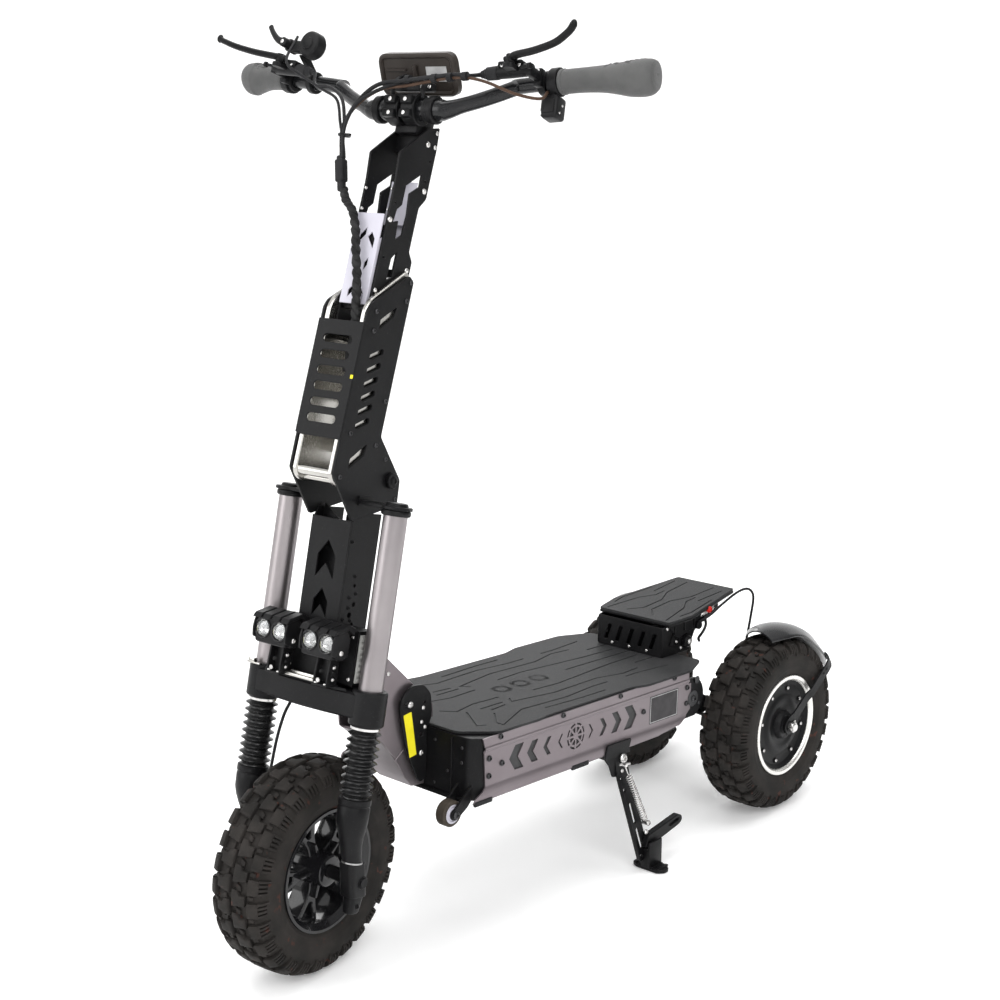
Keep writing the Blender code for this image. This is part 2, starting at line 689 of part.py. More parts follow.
def switch_pod():
    ring = collar(HORN_IN, 12, 19)
    neck = box(-HORN_IN - 6, -HORN_IN + 6, -8, 8, -24, -13)
    body = box(-HORN_IN - 13, -HORN_IN + 13, -12, 16, -54, -20)
    bmesh.ops.bevel(body, geom=body.edges, offset=4, segments=1, affect="EDGES")
    return cut(union(ring, neck, body), rod((-HORN_IN, 10, -36), (-HORN_IN, 30, -36), 6.4, 12))


HARNESS_ROUTE = [(-14, -46, 1141), (-40, -60, 1131), (-58, -66, 1092), (-54, -66, 1050), (-54, -67, 1011),
                 (-27, -70, 982), (-4, -78, 918), (14, -83.5, 848), (17, -81, 814), (15, -79, 780), (9, -76, 740)]


def display():
    """Flat instrument box above the stem, facing back and up at the rider."""
    shape = box(-71.5, 71.5, -8, 8, -32, 32)
    rim = [e for e in shape.edges if abs(e.verts[0].co.y - e.verts[1].co.y) > 1]
    bmesh.ops.bevel(shape, geom=rim, offset=13, segments=2, affect="EDGES")
    shape.transform(Matrix.Translation((0, 5, 1193.5)) @ about_x(28))
    return shape


def make_handlebar():
    node("handlebar_clamp", clamp_block(), "steering_axis", black_paint(), "stem_fold")
    node("handlebar", handlebar(), "steering_axis", black_paint(), "stem_fold")
    node("display", display(), "steering_axis", dark_plastic(), "stem_fold")
    for name, side in SIDES:
        hand = "hand_" + name
        own = (lambda bm: bm) if side > 0 else mirror_x
        node("grip_" + name, own(grip(side)), hand, grip_rubber())
        node("brake_cylinder_" + name, own(brake_cylinder(side)), hand, black_paint())
        node("brake_lever_" + name, own(brake_lever(side)), hand, black_paint(), "brake_pivot_" + name)
    node("throttle_pod", throttle_pod(), "hand_right", dark_plastic())
    node("throttle_trigger", throttle_trigger(), "hand_right", dark_plastic(), "throttle_pivot")
    node("switch_pod", switch_pod(), "hand_left", dark_plastic())
    button = rod((-HORN_IN, 12, -36), (-HORN_IN, 20, -36), 6.0, 12)
    node("horn_button", button, "hand_left", finish("red_plastic", (0.5, 0.03, 0.02), 0.4), "horn_slide")
    path = smooth_path(HARNESS_ROUTE, 3)
    node("cable_harness", sweep(path, [8.0] * len(path), 8), "steering_axis", soft_rubber(), "stem_fold")


# ---------------------------------------------------------------- frame and deck

ROLLER_X = 122.0
ROLLER_Y = -318.0
ROLLER_Z = -11.4
ROLLER_R = 21.0
CHEEK_R = 38.0
MAT_LOW = DECK_H + GAP
MAT_HIGH = 106.0
STAND_PIVOT = (156.0, 572.0, 211.0)


def frame_neck():
    """Head tube and the welded box that leads down to the front of the deck."""
    outline = [(113, 487), (191, 409), (232, 368), (232, 346), (214, 346), (214, 240), (186, 243),
               (170, 262), (158, 284), (142, 308), (122, 332), (104, 348), (100, 420)]
    inner = [(116, 477), (189, 404), (229, 364), (240, 364), (240, 350), (210, 350), (210, 236),
             (188, 239), (174, 264), (162, 286), (145, 311), (125, 335), (108, 350), (104, 420)]
    shape = cut(prism(outline, -40, 40), prism(inner, -36.5, 36.5))
    web = prism([(66, 505), (80, 518), (124, 474), (118, 436), (78, 446), (64, 470)], -12, 12)
    tube = moved(rod((0, 0, 292), (0, 0, 500), 24), "head", "scooter")
    bore = moved(rod((0, 0, 285), (0, 0, 510), 13.2), "head", "scooter")
    return cut(union(shape, web, tube), bore)


def neck_bracket(side):
    """Black plate that ties the neck to the deck, held off by a spacer."""
    outline = [(150, 389), (161, 405), (179, 413), (203, 409), (218, 392), (220, 360), (216, 346),
               (208, 340), (206, 256), (190, 250), (170, 296), (157, 340)]
    x0, x1 = mirrored(side, 46, 50.5)
    shape = prism(outline, x0, x1)
    for y, z in ((172, 384), (194, 300)):
        spacer = rod((side * (40 + GAP), y, z), (side * 47, y, z), 7, 12)
        shape = union(shape, spacer)
    return shape


def deck_outline(inset=0.0):
    half = DECK_HALF - inset
    front, back = DECK_FRONT + inset, DECK_BACK - inset
    return [(-half + 17, front), (half - 17, front), (half, front + 17), (half, back), (-half, back),
            (-half, front + 17)]


def deck_tray():
    """Open-topped battery tray with swing arm cheeks, roller arms and the stand bracket."""
    shape = cut(prism(deck_outline(), 0, DECK_H, "Z"), prism(deck_outline(3), 3, DECK_H + 5, "Z"))
    for _, side in SIDES:
        x0, x1 = mirrored(side, 138.7, DECK_HALF)
        cheek = [(238, 12), (PIVOT_Y - 10, PIVOT_Z - CHEEK_R)]
        cheek += arc((PIVOT_Y, PIVOT_Z), CHEEK_R, -80, 80, 9) + [(238, 86)]
        shape = union(shape, prism(cheek, x0, x1))
        x0, x1 = mirrored(side, 136, 148)
        shape = cut(shape, rod((x0, PIVOT_Y, PIVOT_Z), (x1, PIVOT_Y, PIVOT_Z), 8.4))
        for low, high in ((106.5, 111), (133, 137.5)):
            x0, x1 = mirrored(side, low, high)
            arm = [(-283.5, 24), (-283.5, 1), (-290, -6)]
            arm += arc((ROLLER_Y, ROLLER_Z), 8, -60, -260, 7)
            shape = union(shape, prism([(y, z) for y, z in arm], x0, x1))
        pin = rod((side * 109, ROLLER_Y, ROLLER_Z), (side * 135, ROLLER_Y, ROLLER_Z), 4, 12)
        shape = union(shape, pin)
    bracket = prism([(38, 2), (100, 2), (94, -14), (74, -26), (56, -18)], 138, 150)
    stand = frame_point("scooter", "deck", STAND_PIVOT)
    pin = rod((148, stand.y, stand.z), (162, stand.y, stand.z), 5, 12)
    shape = union(shape, bracket, pin)
    return shape


def side_panel(side):
    outline = [(-268, DECK_H), (-272, 88), (-266, 60), (-266, 30), (-290, 9), (-290, 3), (277, 3), (279, DECK_H)]
    x0, x1 = mirrored(side, DECK_HALF + GAP, DECK_HALF + 3.5)
    return prism(outline, x0, x1)


def deck_mat():
    """Rubber-faced top plate, narrower in the middle and cut across its corners."""
    half = [(102, -283), (147, -234), (150, -136), (145, -117), (145, 106), (156, 142), (156, 268), (128, 334)]
    outline = half + [(-x, y) for x, y in reversed(half)]
    return prism(outline, MAT_LOW, MAT_HIGH, "Z")


def roller():
    return lathe([(10, 4.5), (10, ROLLER_R), (-10, ROLLER_R), (-10, 4.5)], (0, 0, 0), "X", 16)


def pad_height(y, drop=0.0):
    """Height of the tail plate's top above the deck frame at a distance y."""
    return 172.6 + (y - 297) * 0.1107 - drop


def tail_pad():
    half = [(81, 297), (91, 355), (66, 526)]
    outline = half + [(-x, y) for x, y in reversed(half)]
    return skin([[(x, y, pad_height(y, drop)) for x, y in outline] for drop in (9, 0)])


def tail_box():
    """Raised foot support, a shell open underneath and fixed on top of the deck."""
    top = MAT_HIGH + GAP
    outer = [(287, top), (370, top), (388, 142), (462, pad_height(462, 16)), (462, pad_height(462, 9.3)),
             (287, pad_height(287, 9.3))]
    inner = [(291, 100), (366, 100), (384, 146), (452, pad_height(452, 14.5)), (452, pad_height(452, 13)),
             (291, pad_height(291, 13))]
    return cut(prism(outer, -75, 75), prism(inner, -71, 71))


MOTOR_CABLE_ROUTE = [(79, 893, 366), (86, 925, 376), (92, 955, 392), (98, 995, 408), (102, 1025, 410),
                     (103, 1044, 392), (101, 1040, 350), (99.5, 1026, 290), (99.5, 1014, 240), (99.5, 1008, 200)]


def make_frame():
    node("frame_neck", frame_neck(), "scooter", panel_metal())
    for name, side in SIDES:
        node("neck_bracket_" + name, neck_bracket(side), "scooter", black_paint())
        node("side_panel_" + name, side_panel(side), "deck", panel_metal())
        node("roller_" + name, roller(), "roller_axis_" + name, soft_rubber())
    node("deck_tray", deck_tray(), "deck", black_paint())
    node("deck_mat", deck_mat(), "deck", soft_rubber())
    node("battery_pack", box(-130, 130, -262, 170, 3.4, 88), "deck", finish("battery_wrap", (0.05, 0.12, 0.4)))
    node("tail_box", tail_box(), "deck", black_paint())
    node("tail_pad", tail_pad(), "deck", soft_rubber())
    path = smooth_path(MOTOR_CABLE_ROUTE, 3)
    node("motor_cable", sweep(path, [2.4] * len(path), 8), "scooter", soft_rubber())


# ---------------------------------------------------------------- rear wheels

def swing_arm():
    """Twin-arm rear fork with its pivot barrel and the fixed axle that both wheels turn on."""
    pivot = frame_point("swing_pivot", "scooter", (0, 0, 0))
    py, pz = pivot.y, pivot.z
    outline = [(py + 4, pz + 19), (py - 13, pz + 12), (py - 13, pz - 12), (py + 4, pz - 19), (880, 196),
               (985, 146), (1022, 147), (1032, 165), (1022, 183), (985, 190), (880, 238)]
    shape = rod((-138, py, pz), (138, py, pz), 20)
    axle = rod((-228, WHEEL_BASE, TYRE_R), (228, WHEEL_BASE, TYRE_R), REAR_AXLE_R)
    shape = union(shape, rod((-144.6, py, pz), (144.6, py, pz), 8))
    shape = union(shape, rod((-90, 905, 205), (90, 905, 205), 14))
    for _, side in SIDES:
        x0, x1 = mirrored(side, 78, 92)
        shape = union(shape, prism(outline, x0, x1))
    shape = union(shape, axle)
    for _, side in SIDES:
        nut = rod((side * 219, WHEEL_BASE, TYRE_R), (side * 227, WHEEL_BASE, TYRE_R), 13, 6)
        shape = union(shape, nut)
    return shape


def motor_wheel():
    """Hub motor and rim in one casting, in its axle's frame."""
    half = [(47, 8.4), (47, 24), (34, 30), (34, 81), (38, 85), (RIM_HALF, 91), (RIM_HALF, RIM_FLANGE_R),
            (41.3, RIM_FLANGE_R), (41.3, RIM_SEAT_R)]
    profile = half + [(-x, r) for x, r in reversed(half)]
    return lathe(profile, (0, 0, 0))


FENDER_FROM = 27             # ends of the mudguard, degrees above the rear horizontal
FENDER_TO = 102
STRIP_ANGLE = 35


def fender(side):
    """Crowned mudguard over the tyre, carried by a bent strip from the axle's end."""
    rings = []
    for angle in range(FENDER_FROM, FENDER_TO + 1, 15):
        turn = math.radians(angle)
        section = [(-45, 173), (-29, 185), (0, 189), (29, 185), (45, 173), (42, 171), (27, 181.5), (0, 185.5),
                   (-27, 181.5), (-42, 171)]
        rings.append([(x, r * math.cos(turn), r * math.sin(turn)) for x, r in section])
    bend = [(53, -12), (53, 74), (57, 88), (57, 180), (34, 180), (34, 176.5), (54, 176.5), (54, 89), (50, 75),
            (50, -12)]
    strip = prism([(side * x, r) for x, r in bend], -9, 9, "Z")
    strip.transform(Matrix(((1, 0, 0, 0), (0, 0, 1, 0), (0, 1, 0, 0), (0, 0, 0, 1))))
    strip.transform(about_x(STRIP_ANGLE - 90))
    hub = rod((side * 50, 0, 0), (side * 53, 0, 0), 17)
    shape = union(skin(rings), union(strip, hub))
    return cut(shape, rod((side * 45, 0, 0), (side * 60, 0, 0), 8.4))


def make_rear():
    node("swing_arm", swing_arm(), "scooter", black_paint(), "swing_pivot")
    for name, side in SIDES:
        axle = "rear_axle_" + name
        node("rear_tyre_" + name, tyre(), axle, tyre_rubber())
        node("rear_motor_" + name, motor_wheel(), axle, black_paint())
        node("fender_" + name, fender(side), axle, finish("gloss_black", (0.01, 0.01, 0.011), 0.15),
             "swing_pivot")


# ---------------------------------------------------------------- kickstand

STAND_FOOT = (181.0, 628.0)


def kickstand_leg():
    """Side stand with its foot on the ground and the tab that the rider's foot pushes."""
    px, py, pz = STAND_PIVOT
    foot_x, foot_y = STAND_FOOT
    rings = []
    for t, half_y, half_x, extra in ((0.0, 12, 4, 12), (0.1, 15, 4, 0), (0.5, 15, 4, 0), (0.95, 13, 5, 0)):
        x = px + (foot_x - px) * t
        y = py + (foot_y - 6 - py) * t
        z = pz + (6 - pz) * t + extra
        rings.append([(x - half_x, y - half_y, z), (x + half_x, y - half_y, z),
                      (x + half_x, y + half_y, z), (x - half_x, y + half_y, z)])
    shape = skin(rings)
    shape = cut(shape, rod((px - 8, py, pz), (px + 12, py, pz), 5.4, 12))
    foot = prism([(149, 618), (160, 611), (205, 612), (215, 622), (215, 634), (203, 645), (160, 644), (149, 637)],
                 0, 9, "Z")
    shoe = box(foot_x - 9, foot_x + 9, 608, 640, 6, 40)
    tab = prism([(612, 48), (618, 70), (704, 77), (712, 68), (704, 58), (634, 52)], foot_x - 7, foot_x + 5)
    return union(shape, shoe, foot, tab)


def make_kickstand():
    node("kickstand_leg", kickstand_leg(), "scooter", black_paint(), "stand_pivot")
    low, high = Vector((182, 605, 97)), Vector((171, 572, 183))
    axis = high - low
    spring = rod((0, 0, 0), (0, 0, axis.length), 6.5, 10)
    spring = cut(spring, rod((0, 0, -5), (0, 0, axis.length + 5), 4.2, 10))
    spring.transform(Matrix.Translation(low) @ axis.to_track_quat("Z", "Y").to_matrix().to_4x4())
    node("kickstand_spring", spring, "scooter", zinc(), "stand_pivot")


# ---------------------------------------------------------------- build

def main():
    for piece in list(bpy.data.objects):
        bpy.data.objects.remove(piece)
    make_frames()
    make_front_wheel()
    make_fork()
    make_stem()
    make_handlebar()
    make_frame()
    make_rear()
    make_kickstand()


main()
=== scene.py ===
"""Looks of the three-wheeled electric scooter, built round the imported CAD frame.

Lengths are millimetres in each design frame; MM turns them into metres in the row frame.
"""
import json
import math
import random

import bmesh
import bpy
from mathutils import Matrix, Vector


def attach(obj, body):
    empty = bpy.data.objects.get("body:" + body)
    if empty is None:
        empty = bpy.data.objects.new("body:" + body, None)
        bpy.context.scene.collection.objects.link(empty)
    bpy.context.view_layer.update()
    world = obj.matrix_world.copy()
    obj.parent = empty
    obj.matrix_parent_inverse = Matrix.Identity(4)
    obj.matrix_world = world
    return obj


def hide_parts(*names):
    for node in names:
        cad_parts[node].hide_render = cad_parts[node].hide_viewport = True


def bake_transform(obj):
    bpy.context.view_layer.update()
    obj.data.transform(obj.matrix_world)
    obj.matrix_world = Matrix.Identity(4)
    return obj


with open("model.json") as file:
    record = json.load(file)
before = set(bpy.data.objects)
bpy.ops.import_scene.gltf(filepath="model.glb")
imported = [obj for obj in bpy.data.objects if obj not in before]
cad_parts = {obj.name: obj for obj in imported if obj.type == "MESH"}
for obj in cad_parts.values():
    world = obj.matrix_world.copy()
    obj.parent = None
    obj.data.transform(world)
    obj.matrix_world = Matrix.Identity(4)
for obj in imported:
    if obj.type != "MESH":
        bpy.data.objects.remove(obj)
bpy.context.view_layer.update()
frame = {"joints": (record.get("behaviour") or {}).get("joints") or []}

MM = 0.001
TAU = 2 * math.pi
JOINTS = {joint["name"]: joint for joint in frame["joints"]}


# ---- design frames


def about_x(degrees):
    return Matrix.Rotation(math.radians(degrees), 4, "X")


def shift(x, y, z):
    return Matrix.Translation(Vector((x, y, z)) * MM)


def joint_place(name):
    return Matrix.Translation(Vector(JOINTS[name]["pos_m"]))


def axes_at(x_axis, z_axis, origin):
    """A frame from its X and Z axes and its origin in metres."""
    x_axis = Vector(x_axis).normalized()
    z_axis = Vector(z_axis).normalized()
    turn = Matrix((x_axis, z_axis.cross(x_axis), z_axis)).transposed().to_4x4()
    return Matrix.Translation(Vector(origin)) @ turn


AXLE_BEHIND = 3.98
TUBE_X, TUBE_Y = 102, -32.5
WHEEL_R = 165.0
AXIS = Vector(JOINTS["steering"]["axis"])
RAKE = math.degrees(math.atan2(AXIS.y, AXIS.z))
HEAD = Vector(JOINTS["steering"]["pos_m"])
ROOT = Matrix.Translation(HEAD - Vector((0, -AXLE_BEHIND * math.cos(math.radians(RAKE)),
        WHEEL_R + AXLE_BEHIND * math.sin(math.radians(RAKE)))) * MM)
FORK = axes_at(-Vector(JOINTS["stem_fold"]["axis"]), AXIS, HEAD)
STEM = FORK @ shift(0, -50, 593) @ about_x(-6)
FOLD = STEM @ shift(0, 67.7, 6.1)
DECK = ROOT @ shift(0, 500, 224) @ about_x(-2.05)
FRONT = joint_place("front_wheel_spin") @ (FORK @ about_x(RAKE)).to_3x3().to_4x4()
SIDES = (("left", 1), ("right", -1))
REAR = {side: joint_place(f"rear_{name}_spin") for name, side in SIDES}
BAR_BEND, BAR_END = ({side: (side * x, y, z) for _, side in SIDES} for x, y, z in ((183, 28, 1183), (381, 40, 1203)))


def hand_frame(side):
    """Frame at the end of the bar, X along its straight part and towards the left hand."""
    across = ((FORK @ Vector(BAR_END[side])) - (FORK @ Vector(BAR_BEND[side]))) * side
    across.normalize()
    up = FOLD.to_3x3() @ Vector((0, 0, 1))
    back = up.cross(across).normalized()
    turn = Matrix((across, back, across.cross(back))).transposed().to_4x4()
    return Matrix.Translation(FORK @ (Vector(BAR_END[side]) * MM)) @ turn


HAND = {side: hand_frame(side) for _, side in SIDES}


def to_frame(point, source, target):
    """A millimetre point of one design frame, given in another."""
    return (target.inverted() @ (source @ (Vector(point) * MM))) / MM


# ---- materials


def new_material(name):
    made = bpy.data.materials.new(name)
    made.use_nodes = True
    tree = made.node_tree
    return made, tree, tree.nodes["Principled BSDF"]


def noise_node(tree, scale, detail=4.0, stretch=(1, 1, 1), kind="ShaderNodeTexNoise"):
    """A procedural texture in the object's own coordinates; its first output is a factor."""
    where = tree.nodes.new("ShaderNodeTexCoord")
    size = tree.nodes.new("ShaderNodeMapping")
    size.inputs["Scale"].default_value = stretch
    tree.links.new(where.outputs["Object"], size.inputs["Vector"])
    made = tree.nodes.new(kind)
    made.inputs["Scale"].default_value = scale
    if "Detail" in made.inputs:
        made.inputs["Detail"].default_value = detail
    tree.links.new(size.outputs["Vector"], made.inputs["Vector"])
    return made


def ramp(tree, source, low, high, start=0.35, end=0.65):
    made = tree.nodes.new("ShaderNodeValToRGB")
    for element, where, colour in zip(made.color_ramp.elements, (start, end), (low, high)):
        element.position = where
        element.color = (*colour, 1)
    tree.links.new(source, made.inputs["Fac"])
    return made.outputs["Color"]


def grey(value):
    return (value, value, value)


def mix(tree, factor, first, second):
    made = tree.nodes.new("ShaderNodeMix")
    made.data_type = "RGBA"
    for socket, value in ((made.inputs[0], factor), (made.inputs[6], first), (made.inputs[7], second)):
        if isinstance(value, (int, float)):
            socket.default_value = value
        elif isinstance(value, tuple):
            socket.default_value = (*value, 1)
        else:
            tree.links.new(value, socket)
    return made.outputs[2]


GRAIN_DEPTH = 0.0004


def surface(name, colour, second, rough=(0.35, 0.5), metal=0.0, cloud=18.0, grain=900.0, bump=0.05, stretch=(1, 1, 1),
        coat=0.0, specks=None, sheen=0.0, kind="ShaderNodeTexNoise", gloss=0.14):
    """Two-tone colour in soft clouds, roughness that varies with them, and a fine grain in the bump."""
    made, tree, shader = new_material(name)
    clouds = noise_node(tree, cloud, 5.0)
    tone = ramp(tree, clouds.outputs[0], colour, second)
    if specks:
        spots = noise_node(tree, specks[1], 2.0)
        mask = ramp(tree, spots.outputs[0], grey(0), grey(1), specks[2], specks[2] + 0.06)
        tone = mix(tree, mask, tone, specks[0])
    tree.links.new(tone, shader.inputs["Base Color"])
    fine = noise_node(tree, grain, 3.0, stretch, kind)
    mixed = mix(tree, 0.5, clouds.outputs[0], fine.outputs[0])
    tree.links.new(ramp(tree, mixed, grey(rough[0]), grey(rough[1]), 0.3, 0.7), shader.inputs["Roughness"])
    relief = tree.nodes.new("ShaderNodeBump")
    relief.inputs["Strength"].default_value = bump
    relief.inputs["Distance"].default_value = GRAIN_DEPTH
    tree.links.new(fine.outputs[0], relief.inputs["Height"])
    tree.links.new(relief.outputs["Normal"], shader.inputs["Normal"])
    shader.inputs["Metallic"].default_value = metal
    shader.inputs["Specular IOR Level"].default_value = gloss
    shader.inputs["Coat Weight"].default_value = coat
    shader.inputs["Sheen Weight"].default_value = sheen
    return made


def plain(name, colour, rough, metal=0.0, glow=0.0, clear=0.0):
    """A small part's finish: faint mottling over one colour."""
    made = surface(name, colour, tuple(min(1, c * 1.25 + 0.003) for c in colour), (rough, rough + 0.08), metal, 60.0)
    shader = made.node_tree.nodes["Principled BSDF"]
    shader.inputs["Emission Color"].default_value = (*colour, 1)
    shader.inputs["Emission Strength"].default_value = glow
    shader.inputs["Transmission Weight"].default_value = clear
    return made


BLACK = surface("powder_black", (0.0035, 0.0035, 0.004), (0.0075, 0.0075, 0.008), (0.34, 0.48), 0.0, 9, 1400, 0.22,
        specks=((0.022, 0.022, 0.023), 500, 0.66))
GLOSS = surface("gloss_black", (0.006, 0.006, 0.007), (0.012, 0.012, 0.013), (0.12, 0.22), 0.0, 12, 300, 0.03, coat=0.5)
TYRE = surface("tyre_rubber", (0.0125, 0.0115, 0.0105), (0.026, 0.023, 0.021), (0.62, 0.85), 0.0, 26, 1500, 0.35,
        specks=((0.05, 0.022, 0.017), 55, 0.66))
RUBBER = surface("soft_rubber", (0.010, 0.010, 0.011), (0.020, 0.020, 0.021), (0.45, 0.65), 0.0, 20, 1200, 0.2)
GRIP = surface("grip_rubber", (0.055, 0.056, 0.056), (0.088, 0.088, 0.087), (0.6, 0.78), 0.0, 22, 1000, 0.6, sheen=0.2,
        kind="ShaderNodeTexVoronoi")
MAT = surface("mat_rubber", (0.017, 0.0175, 0.0185), (0.034, 0.034, 0.035), (0.5, 0.72), 0.0, 7, 1600, 0.4,
        specks=((0.07, 0.07, 0.07), 900, 0.62))
SATIN = surface("anodised_aluminium", (0.27, 0.248, 0.254), (0.33, 0.305, 0.31), (0.3, 0.4), 0.9, 8, 700, 0.06,
        stretch=(8, 8, 0.2))
POLISH = surface("polished_aluminium", (0.40, 0.39, 0.37), (0.54, 0.53, 0.50), (0.16, 0.32), 1.0, 10, 500, 0.08,
        stretch=(6, 6, 0.3))
PANEL = surface("panel_metal", (0.185, 0.16, 0.17), (0.225, 0.2, 0.21), (0.34, 0.46), 0.8, 6, 900, 0.05,
        stretch=(1, 0.04, 1))
PLASTIC = surface("dark_plastic", (0.006, 0.006, 0.0065), (0.012, 0.012, 0.0125), (0.34, 0.5), 0.0, 30, 1300, 0.25)
WHITE = surface("white_paint", (0.44, 0.43, 0.49), (0.52, 0.51, 0.57), (0.28, 0.4), 0.05, 8, 900, 0.06)
ZINC = surface("zinc_steel", (0.55, 0.54, 0.53), (0.72, 0.71, 0.70), (0.18, 0.34), 1.0, 60, 900, 0.08)
DISC = surface("brushed_disc", (0.34, 0.34, 0.34), (0.5, 0.5, 0.49), (0.25, 0.4), 1.0, 40, 1100, 0.1, stretch=(1, 6, 1))
RIM_SILVER = surface("rim_silver", (0.66, 0.65, 0.62), (0.8, 0.79, 0.76), (0.2, 0.34), 0.85, 14, 600, 0.05)
RED = plain("red_plastic", (0.45, 0.02, 0.015), 0.35)
BRAID = surface("cable_braid", (0.010, 0.010, 0.010), (0.03, 0.03, 0.03), (0.5, 0.7), 0.0, 60, 1500, 0.8,
        kind="ShaderNodeTexVoronoi")
LENS = plain("clear_lens", (0.95, 0.97, 1.0), 0.03, clear=1.0)
CHROME = plain("reflector_chrome", (0.42, 0.42, 0.41), 0.06, 1.0)
GLOW = plain("lamp_chip", (0.9, 0.85, 0.5), 0.4)
LIGHT_STRIP = plain("light_diffuser", (0.22, 0.22, 0.21), 0.35)
SCREEN = plain("screen_glass", (0.012, 0.013, 0.016), 0.06)
YELLOW = surface("blank_sticker", (0.75, 0.66, 0.02), (0.83, 0.73, 0.03), (0.25, 0.35), 0.0, 30, 900, 0.03)
LABEL = plain("blank_label", (0.32, 0.32, 0.32), 0.45)
BROWN_CABLE = plain("brown_cable", (0.05, 0.028, 0.018), 0.45)
DARK_SCREW = plain("dark_screw", (0.05, 0.05, 0.052), 0.3, 0.8)
DISPLAY_SHELL = surface("display_shell", (0.028, 0.023, 0.020), (0.04, 0.034, 0.03), (0.3, 0.42), 0.0, 20, 1200, 0.15)
GLOSS_BAR = surface("bar_paint", (0.005, 0.0055, 0.006), (0.010, 0.010, 0.011), (0.16, 0.26), 0.0, 10, 900, 0.08,
        gloss=0.3)
GAITER = surface("gaiter_rubber", (0.006, 0.006, 0.0065), (0.012, 0.012, 0.012), (0.2, 0.32), 0.0, 20, 1000, 0.1,
        gloss=0.32)
PANEL_BACK = plain("panel_backing", (0.045, 0.045, 0.046), 0.5)
BATTERY = plain("battery_wrap", (0.05, 0.12, 0.4), 0.4)
ROLLER_RUBBER = plain("roller_rubber", (0.04, 0.033, 0.026), 0.6)
FENDER = surface("mudguard_black", (0.010, 0.010, 0.011), (0.017, 0.017, 0.018), (0.2, 0.28), 0.0, 10, 500, 0.04,
        coat=0.2, gloss=0.4)
GREY_LABEL = plain("etched_label", (0.050, 0.048, 0.050), 0.55, 0.2)


# ---- mesh helpers


def skin(rings, closed=False, caps=True):
    """Faces between rings of points, in order."""
    bm = bmesh.new()
    loops = [[bm.verts.new(point) for point in ring] for ring in rings]
    pairs = list(zip(loops, loops[1:])) + ([(loops[-1], loops[0])] if closed else [])
    count = len(loops[0])
    for low, high in pairs:
        for i in range(count):
            j = (i + 1) % count
            bm.faces.new((low[i], low[j], high[j], high[i]))
    if caps and not closed:
        bm.faces.new(list(reversed(loops[0])))
        bm.faces.new(loops[-1])
    bmesh.ops.recalc_face_normals(bm, faces=bm.faces)
    return bm


def join(*shapes):
    """All shapes in one bmesh; the others are freed."""
    first = shapes[0]
    for other in shapes[1:]:
        mesh = bpy.data.meshes.new("part")
        other.to_mesh(mesh)
        other.free()
        first.from_mesh(mesh)
        bpy.data.meshes.remove(mesh)
    return first


def turned(bm, matrix):
    bm.transform(matrix)
    return bm


def at(bm, x, y, z):
    return turned(bm, Matrix.Translation((x, y, z)))


def flip(bm):
    """Mirror across X = 0."""
    bm.transform(Matrix.Scale(-1, 4, (1, 0, 0)))
    bmesh.ops.reverse_faces(bm, faces=bm.faces)
    return bm


def lathe(profile, centre=(0, 0, 0), axis="X", segments=64):
    """Spin a closed outline of (along, radius) points about an axis."""
    place = {"X": (0, 1, 2), "Y": (1, 2, 0), "Z": (2, 0, 1)}[axis]
    rings = []
    for i in range(segments):
        turn = TAU * i / segments
        ring = []
        for along, radius in profile:
            point = [0.0, 0.0, 0.0]
            point[place[0]] = along
            point[place[1]] = radius * math.cos(turn)
            point[place[2]] = radius * math.sin(turn)
            ring.append([p + c for p, c in zip(point, centre)])
        rings.append(ring)
    bm = skin(rings, closed=True)
    bmesh.ops.remove_doubles(bm, verts=bm.verts, dist=1e-4)
    return bm


def spline(points, steps):
    """Points of a Catmull-Rom curve through the given points, of any dimension."""
    points = [tuple(p) for p in points]
    first = tuple(2 * a - b for a, b in zip(points[0], points[1]))
    last = tuple(2 * a - b for a, b in zip(points[-1], points[-2]))
    padded = [first, *points, last]
    path = []
    for i in range(len(points) - 1):
        quad = padded[i:i + 4]
        for k in range(steps):
            t = k / steps
            path.append(tuple(0.5 * (2 * b + (c - a) * t + (2 * a - 5 * b + 4 * c - d) * t * t
                    + (3 * b - a - 3 * c + d) * t ** 3) for a, b, c, d in zip(*quad)))
    path.append(points[-1])
    return path


def tube(points, radii, segments=16, flat=1.0, twist=(0.3, 1, 0.2)):
    """A round (or flattened) bar along points, with one radius or one for each point."""
    points = [Vector(p[:3]) for p in points]
    if isinstance(radii, (int, float)):
        radii = [radii] * len(points)
    rings = []
    side = None
    for i, point in enumerate(points):
        axis = (points[min(i + 1, len(points) - 1)] - points[max(i - 1, 0)]).normalized()
        if side is None:
            side = axis.cross(Vector(twist)).normalized()
        side = (side - axis * side.dot(axis)).normalized()
        other = axis.cross(side)
        turns = [TAU * k / segments for k in range(segments)]
        rings.append([point + (side * math.cos(t) + other * math.sin(t) * flat) * radii[i] for t in turns])
    return skin(rings)


def rod(start, end, radius, segments=32, lip=0.6):
    """A solid round bar with softened ends."""
    start, end = Vector(start), Vector(end)
    along = (end - start).normalized()
    points = [start, start + along * lip, end - along * lip, end]
    return tube(points, [radius - lip, radius, radius, radius - lip], segments)


def slab(x0, x1, y0, y1, z0, z1, round_by=1.5, segments=2):
    """A box with rounded edges."""
    corners = [[(x, y, z) for x, y in ((x0, y0), (x1, y0), (x1, y1), (x0, y1))] for z in (z0, z1)]
    bm = skin(corners)
    if round_by:
        bmesh.ops.bevel(bm, geom=bm.edges[:], offset=round_by, segments=segments, profile=0.5, affect="EDGES")
    return bm


